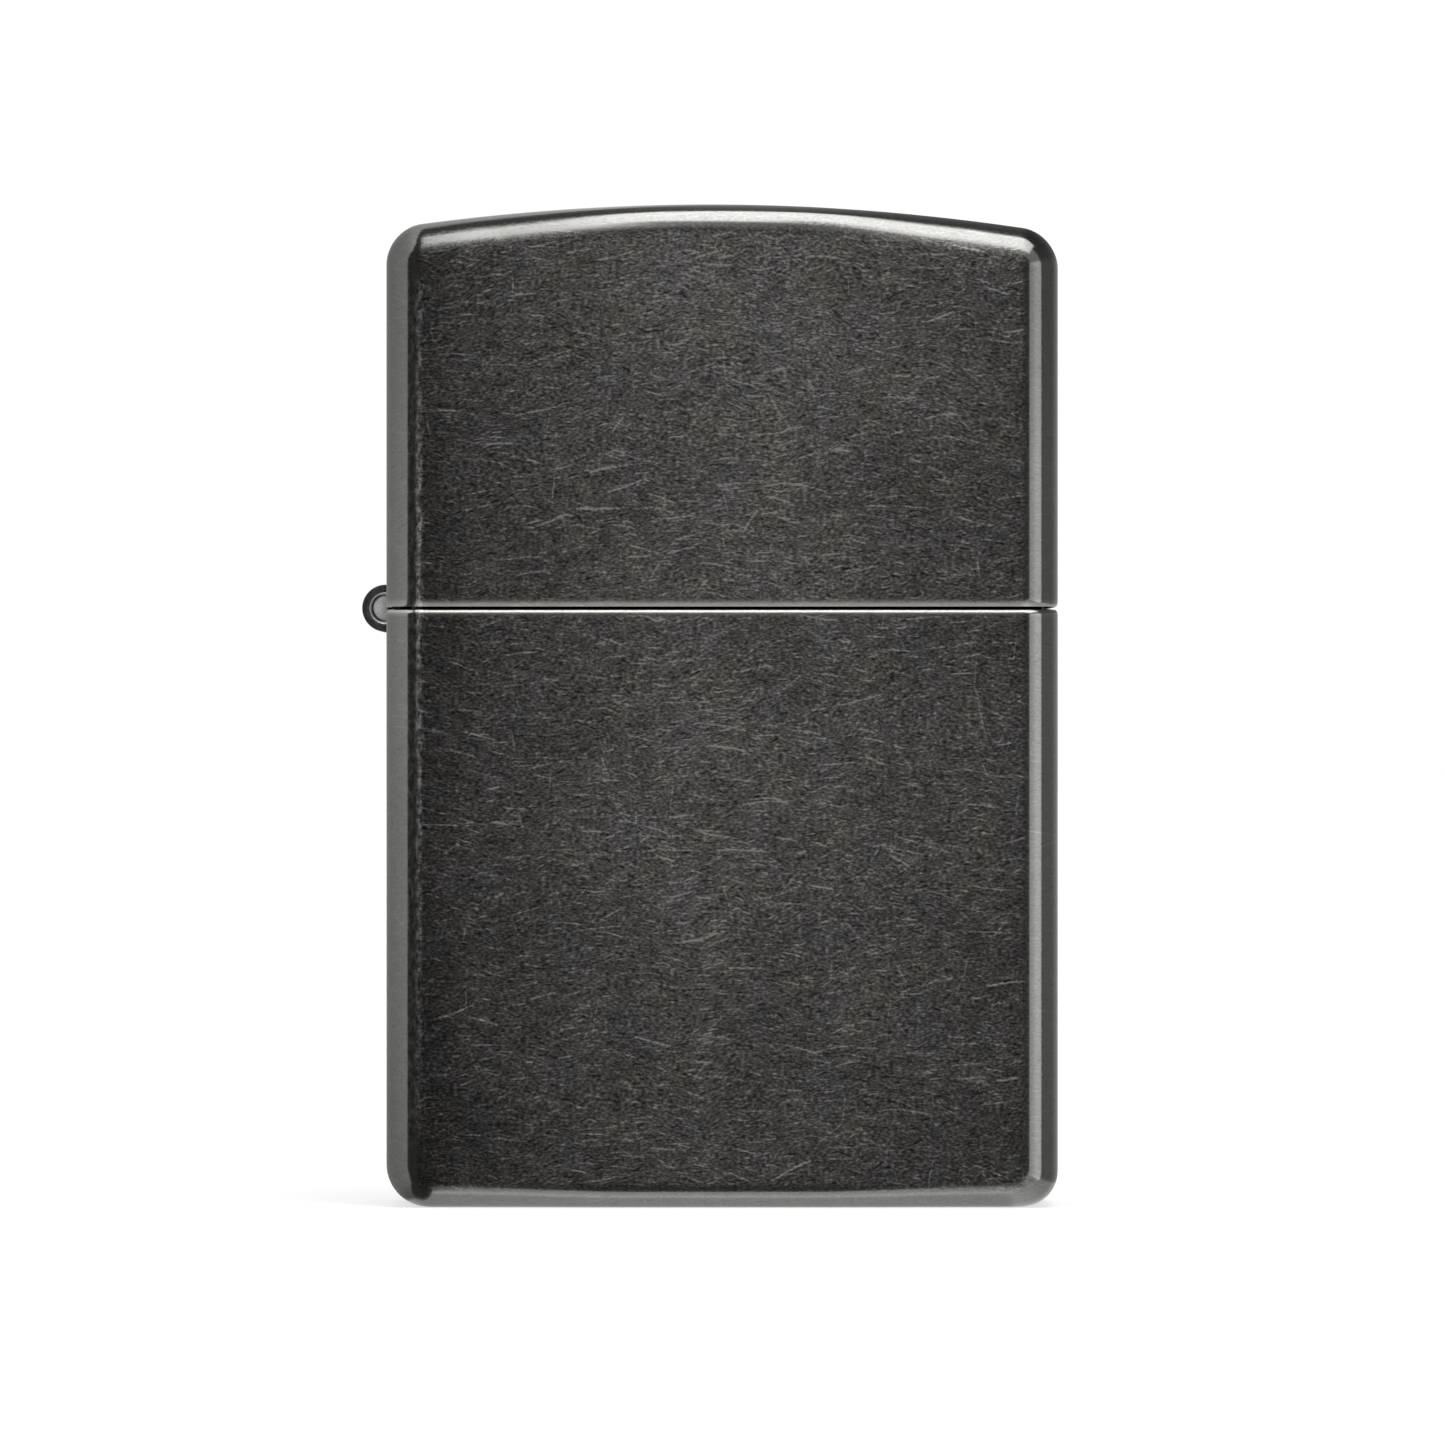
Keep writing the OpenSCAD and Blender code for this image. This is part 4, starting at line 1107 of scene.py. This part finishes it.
def stuffed(node, voxel, shrink, lump, scale, seed, mat):
    o = bpy.data.objects.new(node + "_fibre", nodes[node].data.copy())
    bpy.context.scene.collection.objects.link(o)
    mod = o.modifiers.new("remesh", "REMESH")
    mod.mode = "VOXEL"
    mod.voxel_size = voxel * MM
    sm = o.modifiers.new("smooth", "SMOOTH")
    sm.factor = 0.5
    sm.iterations = 5
    bpy.context.view_layer.update()
    apply_mods(o)
    me = o.data
    count = len(me.vertices)
    co = np.empty(count * 3)
    me.vertices.foreach_get("co", co)
    co = co.reshape(-1, 3)
    nor = np.empty(count * 3)
    me.vertex_normals.foreach_get("vector", nor)
    nor = nor.reshape(-1, 3)
    f = noise_at(co / MM, scale, seed)
    f2 = noise_at(co / MM, scale * 4, seed + 9)
    f = (f - f.min()) / max(f.max() - f.min(), 1e-9)
    f2 = (f2 - f2.min()) / max(f2.max() - f2.min(), 1e-9)
    co = co - nor * ((shrink + lump * (0.75 * f + 0.25 * f2)) * MM)[:, None]
    me.vertices.foreach_set("co", co.reshape(-1))
    dress(o, node, mat, sharp=0)
    return o


for i, node in enumerate(("wadding_top", "wadding_upper", "wadding_middle", "wadding_side", "wadding_bottom")):
    stuffed(node, 0.42, 0.0, 0.42, 0.55, 3.0 + 7 * i, MATS["wadding_cotton"])
stuffed("felt_pad", 0.32, 0.0, 0.10, 0.9, 51.0, MATS["felt"])

for name, o in nodes.items():
    for s in o.material_slots:
        s.material = COAT if name in ("case_base", "case_lid") else MATS[slots[name]]

# ---------------------------------------------------------------- studio
scene = bpy.context.scene
scene.view_settings.view_transform = "Standard"
scene.view_settings.look = "None"
scene.cycles.use_denoising = True

world = bpy.data.worlds.new("studio")
scene.world = world
world.use_nodes = True
world.node_tree.nodes.clear()
t = Tree(world.node_tree)
direction = t.new("ShaderNodeTexCoord").outputs["Generated"]
dx, dy, dz = t.xyz(direction)
deg = 180 / math.pi
away = t.math("MULTIPLY", t.math("ARCCOSINE", t.math("MULTIPLY", dy, -1.0)), deg)     # angle from the direction in front
turn = t.math("MULTIPLY", t.math("ARCTAN2", dz, dx), deg)                             # right 0, up 90, down -90
turn_l = t.math("MULTIPLY", t.math("ARCTAN2", dz, t.math("MULTIPLY", dx, -1.0)), deg) # left 0, up 90, down -90


def edge(v, a, soft):
    """0 below a, 1 above it."""
    lo = t.math("SUBTRACT", a, soft)
    return t.remap(t.math("SUBTRACT", v, lo), 0.0, 2.0 * soft, smooth=True)


def band(v, a, b, soft):
    """1 between a and b, with soft edges."""
    return t.math("MULTIPLY", edge(v, a, soft), t.math("SUBTRACT", 1.0, edge(v, b, soft)))


AMB = 0.06
# grey wall of the tent on the left, reaching up over the object and behind it
start = t.curve(turn_l, ((-72, 150), (-64, 103), (-46, 60), (-28, 48), (0, 45.5), (45, 44), (65, 57), (76, 88), (81.5, 116), (83.3, 126), (90, 142)))
left = t.math("MULTIPLY", edge(away, start, 1.5), t.curve(away, ((50, 0.49), (150, 0.30))))
left = t.math("MULTIPLY", left, t.curve(turn_l, ((-80, 0.0), (-55, 0.6), (-35, 1.0), (25, 1.0), (50, 1.2), (65, 1.45), (78, 1.7), (86, 1.8), (91, 0.0))))
# bright strip on the right, then a dim wall that brightens towards the back
right = t.math("MULTIPLY", band(away, 20.5, 62.5, 1.2), t.curve(away, ((24, 0.70), (33, 0.82), (40, 1.07), (50, 1.18), (62, 1.08))))
right = t.math("MULTIPLY", right, band(turn, -27.0, 14.0, 5.0))
bridge = t.math("MULTIPLY", band(away, 24.0, 62.0, 4.0), t.math("MULTIPLY", band(turn, 9.0, 54.0, 5.0), 0.50))
right = t.math("ADD", right, bridge)
rear = t.math("MULTIPLY", edge(away, 66.0, 2.0), t.curve(away, ((110, 0.16), (150, 0.42))))
rear = t.math("MULTIPLY", rear, band(turn, -80.0, 95.0, 6.0))
rear = t.math("MULTIPLY", rear, t.curve(turn, ((8, 1.0), (25, 0.42), (70, 0.10), (82, 0.25), (88, 0.80))))
# softbox overhead, turned a little, with a paler skirt on its near side
back = t.curve(turn, ((50, 76), (81.5, 90), (83.5, 101), (86.5, 98), (90, 93), (93, 92), (95, 90), (96.5, 84), (98, 73)))
front = t.curve(turn, ((50, 40), (81.5, 43), (82.8, 54), (85, 57), (87, 44), (89, 38), (91, 42), (93, 46), (94.6, 44), (96.5, 20), (98, 10)))
top = t.math("MULTIPLY", band(away, front, back, 2.0), 2.45)
skirt = t.math("MULTIPLY", t.remap(t.math("SUBTRACT", away, front), -26.0, 2.0, 0.0, 0.60), t.math("SUBTRACT", 1.0, edge(away, front, 1.0)))
top = t.math("MULTIPLY", t.math("ADD", top, skirt), band(turn, 54.0, 99.0, 3.0))
# below: light thrown back by the table
near = t.curve(turn, ((-90, 28), (-80, 26), (-60, 20), (-40, 18)))
far = t.curve(away, ((40, -100), (90, -109), (150, -122)))
low = t.math("MULTIPLY", edge(away, near, 2.0), t.curve(away, ((38, 0.66), (56, 0.92), (66, 0.60), (150, 0.52))))
low = t.math("MULTIPLY", low, t.math("MULTIPLY", band(turn, far, -22.0, 4.0), t.curve(turn, ((-88, 0.92), (-80, 1.0), (-40, 0.6)))))
total = AMB
for part in (left, right, rear, top, low):
    total = t.math("ADD", total, part)
path = t.new("ShaderNodeLightPath")
strength = t.mixf(path.outputs["Is Camera Ray"], total, 1.02)
bg = t.new("ShaderNodeBackground")
t.put(bg.inputs["Color"], (1, 1, 1, 1))
t.put(bg.inputs["Strength"], strength)
t.put(t.new("ShaderNodeOutputWorld").inputs[0], bg.outputs[0])

# pale table top
bm = bmesh.new()
bmesh.ops.create_grid(bm, x_segments=1, y_segments=1, size=4.0)
me = bpy.data.meshes.new("table_top")
bm.to_mesh(me)
bm.free()
table_top = bpy.data.objects.new("table_top", me)
scene.collection.objects.link(table_top)
table_top.location = (0, 0, -0.00002)
m, t, b = material("table_white")
m.node_tree.nodes.remove(b)
path = t.new("ShaderNodeLightPath")
diff = t.new("ShaderNodeBsdfDiffuse")
diff.inputs[0].default_value = (0.8, 0.8, 0.8, 1)
em = t.new("ShaderNodeEmission")
t.put(em.inputs["Strength"], t.mixf(path.outputs["Is Camera Ray"], 0.22, 0.62))
add = t.new("ShaderNodeAddShader")
t.put(add.inputs[0], diff.outputs[0])
t.put(add.inputs[1], em.outputs[0])
t.put([n for n in m.node_tree.nodes if n.type == "OUTPUT_MATERIAL"][0].inputs[0], add.outputs[0])
me.materials.append(m)
table_top.visible_glossy = False
table_top.visible_diffuse = False

cam_data = bpy.data.cameras.new("camera")
cam_data.sensor_width = 36
cam_data.lens = 300
cam_data.clip_start = 0.01
cam_data.clip_end = 50
cam = bpy.data.objects.new("camera", cam_data)
scene.collection.objects.link(cam)
dist = 0.08243 / 36 * 300
cam.location = (0.00002, -0.00435 - dist, 0.02762)
cam.rotation_euler = (math.pi / 2, 0, 0)
scene.camera = cam

for name in ("hinge_leaf_base_formed", "hinge_leaf_lid_formed", "hinge_pin_peened"):
    bpy.data.objects[name].visible_glossy = False      # no dark mirror image of the barrel in the case's edge
